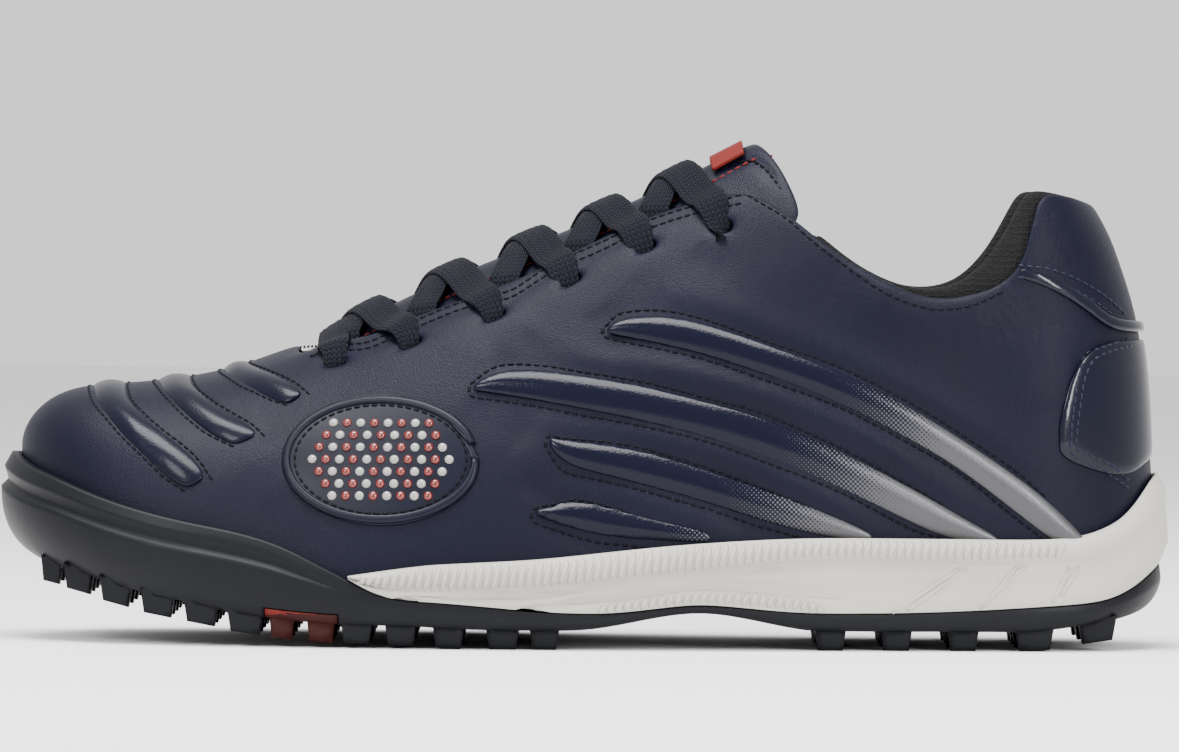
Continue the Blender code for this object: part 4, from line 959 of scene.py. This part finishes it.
def make_midsole(leather):
    """Foam midsole with a rope of slanted ribs round its top and in its arch."""
    sole = dress("midsole", "foam_midsole", 3, 38, 0.55)
    top_high = ((362, 572), (440, 560), (542, 556), (624, 547), (705, 540), (820, 536), (934, 537),
                (1037, 539), (1062, 538))
    top_low = ((362, 575), (440, 582), (547, 577), (654, 566), (735, 558), (820, 550), (934, 553),
               (1049, 552), (1062, 551))
    arch_high = ((596, 600), (627, 593), (708, 585), (788, 591), (826, 601))
    arch_low = ((596, 605), (627, 602), (708, 595), (788, 601), (826, 606))
    plain = surface_of(sole)
    for side in BOTH:
        under = ((345, 588), (375, 592), (440, 589), (547, 584), (654, 573), (735, 565), (820, 557),
                 (934, 560), (1049, 559), (1106, 550), (1146, 530))
        press(sole, trace(plain, under, side, 1.5 * MM), 1.2 * MM, 1.3 * MM)
        middle = ((375, 582), (440, 572), (547, 567), (654, 557), (735, 549), (820, 543), (934, 545),
                  (1049, 545), (1106, 536), (1142, 512))
        press(sole, trace(plain, middle, side, 1.5 * MM), 2.6 * MM, -0.75 * MM)
        curve = ((500, 606), (560, 596), (627, 584), (708, 576), (788, 582), (850, 598), (880, 606))
        press(sole, trace(plain, curve, side, 1.5 * MM), 1.2 * MM, 1.1 * MM)
    surface = surface_of(sole)
    sole.data.materials.append(foam)
    sole.data.materials.append(lining_cloth)
    for face in sole.data.polygons:
        within = face.normal.z > 0.3 and inside(leather, face.center + 2 * MM * Vector((0, 0, 1)))
        face.material_index = int(within)
    finish_piece(sole, foam, "white_foam", "midsole")
    for side, name in ((OUTER, "outer"), (INNER, "inner")):
        lines = rope_band(surface, top_high, top_low, 2.05 * MM, 7, side)
        lines += rope_band(surface, arch_high, arch_low, 2.05 * MM, 5, side)
        ribs = swept(f"midsole_rope_{name}", lines, HALF_ROUND)
        finish_piece(ribs, foam, "white_foam")
        lines = []
        for pixels in (((889, 606), (955, 563)), ((903, 604), (962, 563)), ((976, 603), (1012, 561)),
                       ((989, 590), (1020, 560)), ((1047, 597), (1064, 562)), ((1056, 590), (1073, 561))):
            line = trace(surface, pixels, side, 2 * MM)
            last = len(line) - 1
            lines.append([
                (point, direction.cross(normal).normalized(), normal,
                 0.60 * MM, 0.55 * MM * (0.3 + 0.7 * math.sin(math.pi * i / last)))
                for i, (point, direction, normal) in enumerate(line)
            ])
        finish_piece(swept(f"midsole_lines_{name}", lines, HALF_ROUND), foam, "white_foam")


def make_outsole():
    """Rubber outsole with its toe bumper, its studs and its red inserts, whose low faces carry painted
    shade.
    """
    sole = dress("outsole", "rubber_outsole", 2, 42)
    finish_piece(sole, rubber, "black_rubber", "outsole")
    for node, name in (("forefoot_insert", "red_forefoot_insert"), ("heel_insert", "red_heel_insert")):
        insert = dress(node, name, 1, 30)
        insert.data.materials.append(red_rubber)
        insert.data.materials.append(red_rubber_painted_shade)
        # Faces below 8.2 mm take the darker red: painted shade on the inserts' low faces
        for face in insert.data.polygons:
            face.material_index = int(face.center.z < 8.2 * MM)
        finish_piece(insert, red_rubber, "red_rubber", node)


def make_stage():
    """Plain pale floor, soft studio light and the photograph's camera."""
    bpy.ops.object.select_all(action="DESELECT")
    bpy.ops.mesh.primitive_plane_add(size=8, location=(0, 0, 0))
    floor = bpy.context.object
    floor.name = "pale_floor"
    floor.data.materials.append(finish("pale floor", (0.86, 0.86, 0.86), 0.9))
    world = bpy.data.worlds.new("studio")
    world.use_nodes = True
    world.node_tree.nodes["Background"].inputs["Color"].default_value = (1, 1, 1, 1)
    world.node_tree.nodes["Background"].inputs["Strength"].default_value = 1.15
    bpy.context.scene.world = world
    lamps = (
        ("top light", (-0.1, -0.2, 1.1), (0, 0, 0.05), (0.9, 0.5), 30),
        ("front light", (-0.7, -1.0, 0.8), (-0.02, 0, 0.05), (0.5, 0.5), 12),
        ("heel light", (0.62, -0.80, 0.42), (0.12, 0, 0.05), (0.10, 0.6), 9),
    )
    for name, place, aim, size, power in lamps:
        bpy.ops.object.light_add(type="AREA", location=place)
        lamp = bpy.context.object
        lamp.name = name
        lamp.data.shape = "RECTANGLE"
        lamp.data.size, lamp.data.size_y = size
        lamp.data.energy = power
        lamp.rotation_euler = (Vector(aim) - Vector(place)).to_track_quat("-Z", "Y").to_euler()
    distance, elevation, roll = 2.2, math.radians(1.0), math.radians(0.5)
    centre_x, centre_z = picture_point(FRAME_WIDTH / 2, FRAME_HEIGHT / 2)
    aim = Vector((centre_x, 0, centre_z))
    bpy.ops.object.camera_add(
        location=aim + Vector((0, -math.cos(elevation), math.sin(elevation))) * distance
    )
    camera = bpy.context.object
    turn = Matrix.Rotation(math.radians(90) - elevation, 3, "X") @ Matrix.Rotation(roll, 3, "Z")
    camera.rotation_euler = turn.to_euler()
    camera.data.sensor_width = 36
    camera.data.lens = 36 * distance / (FRAME_WIDTH / PIXELS_PER_MM * MM)
    bpy.context.scene.camera = camera


make_stage()
leather_upper = make_upper()
upper_surface = surface_of(leather_upper)
make_ribs(upper_surface)
make_toe_pads(upper_surface)
make_heel(upper_surface)
make_collar()
padded_tongue = make_tongue()
make_laces(leather_upper, padded_tongue)
make_patch(upper_surface)
make_midsole(upper_surface)
make_outsole()
sew("eyestay_stitches", [
    trace(upper_surface, pixels, side, STITCH_SPACING) for pixels in EYESTAY_STITCHES for side in BOTH
], navy_thread, "lace_webbing")
sew("collar_stitches", [
    trace(upper_surface, COLLAR_STITCHES, side, STITCH_SPACING) for side in BOTH
], navy_thread, "lace_webbing")
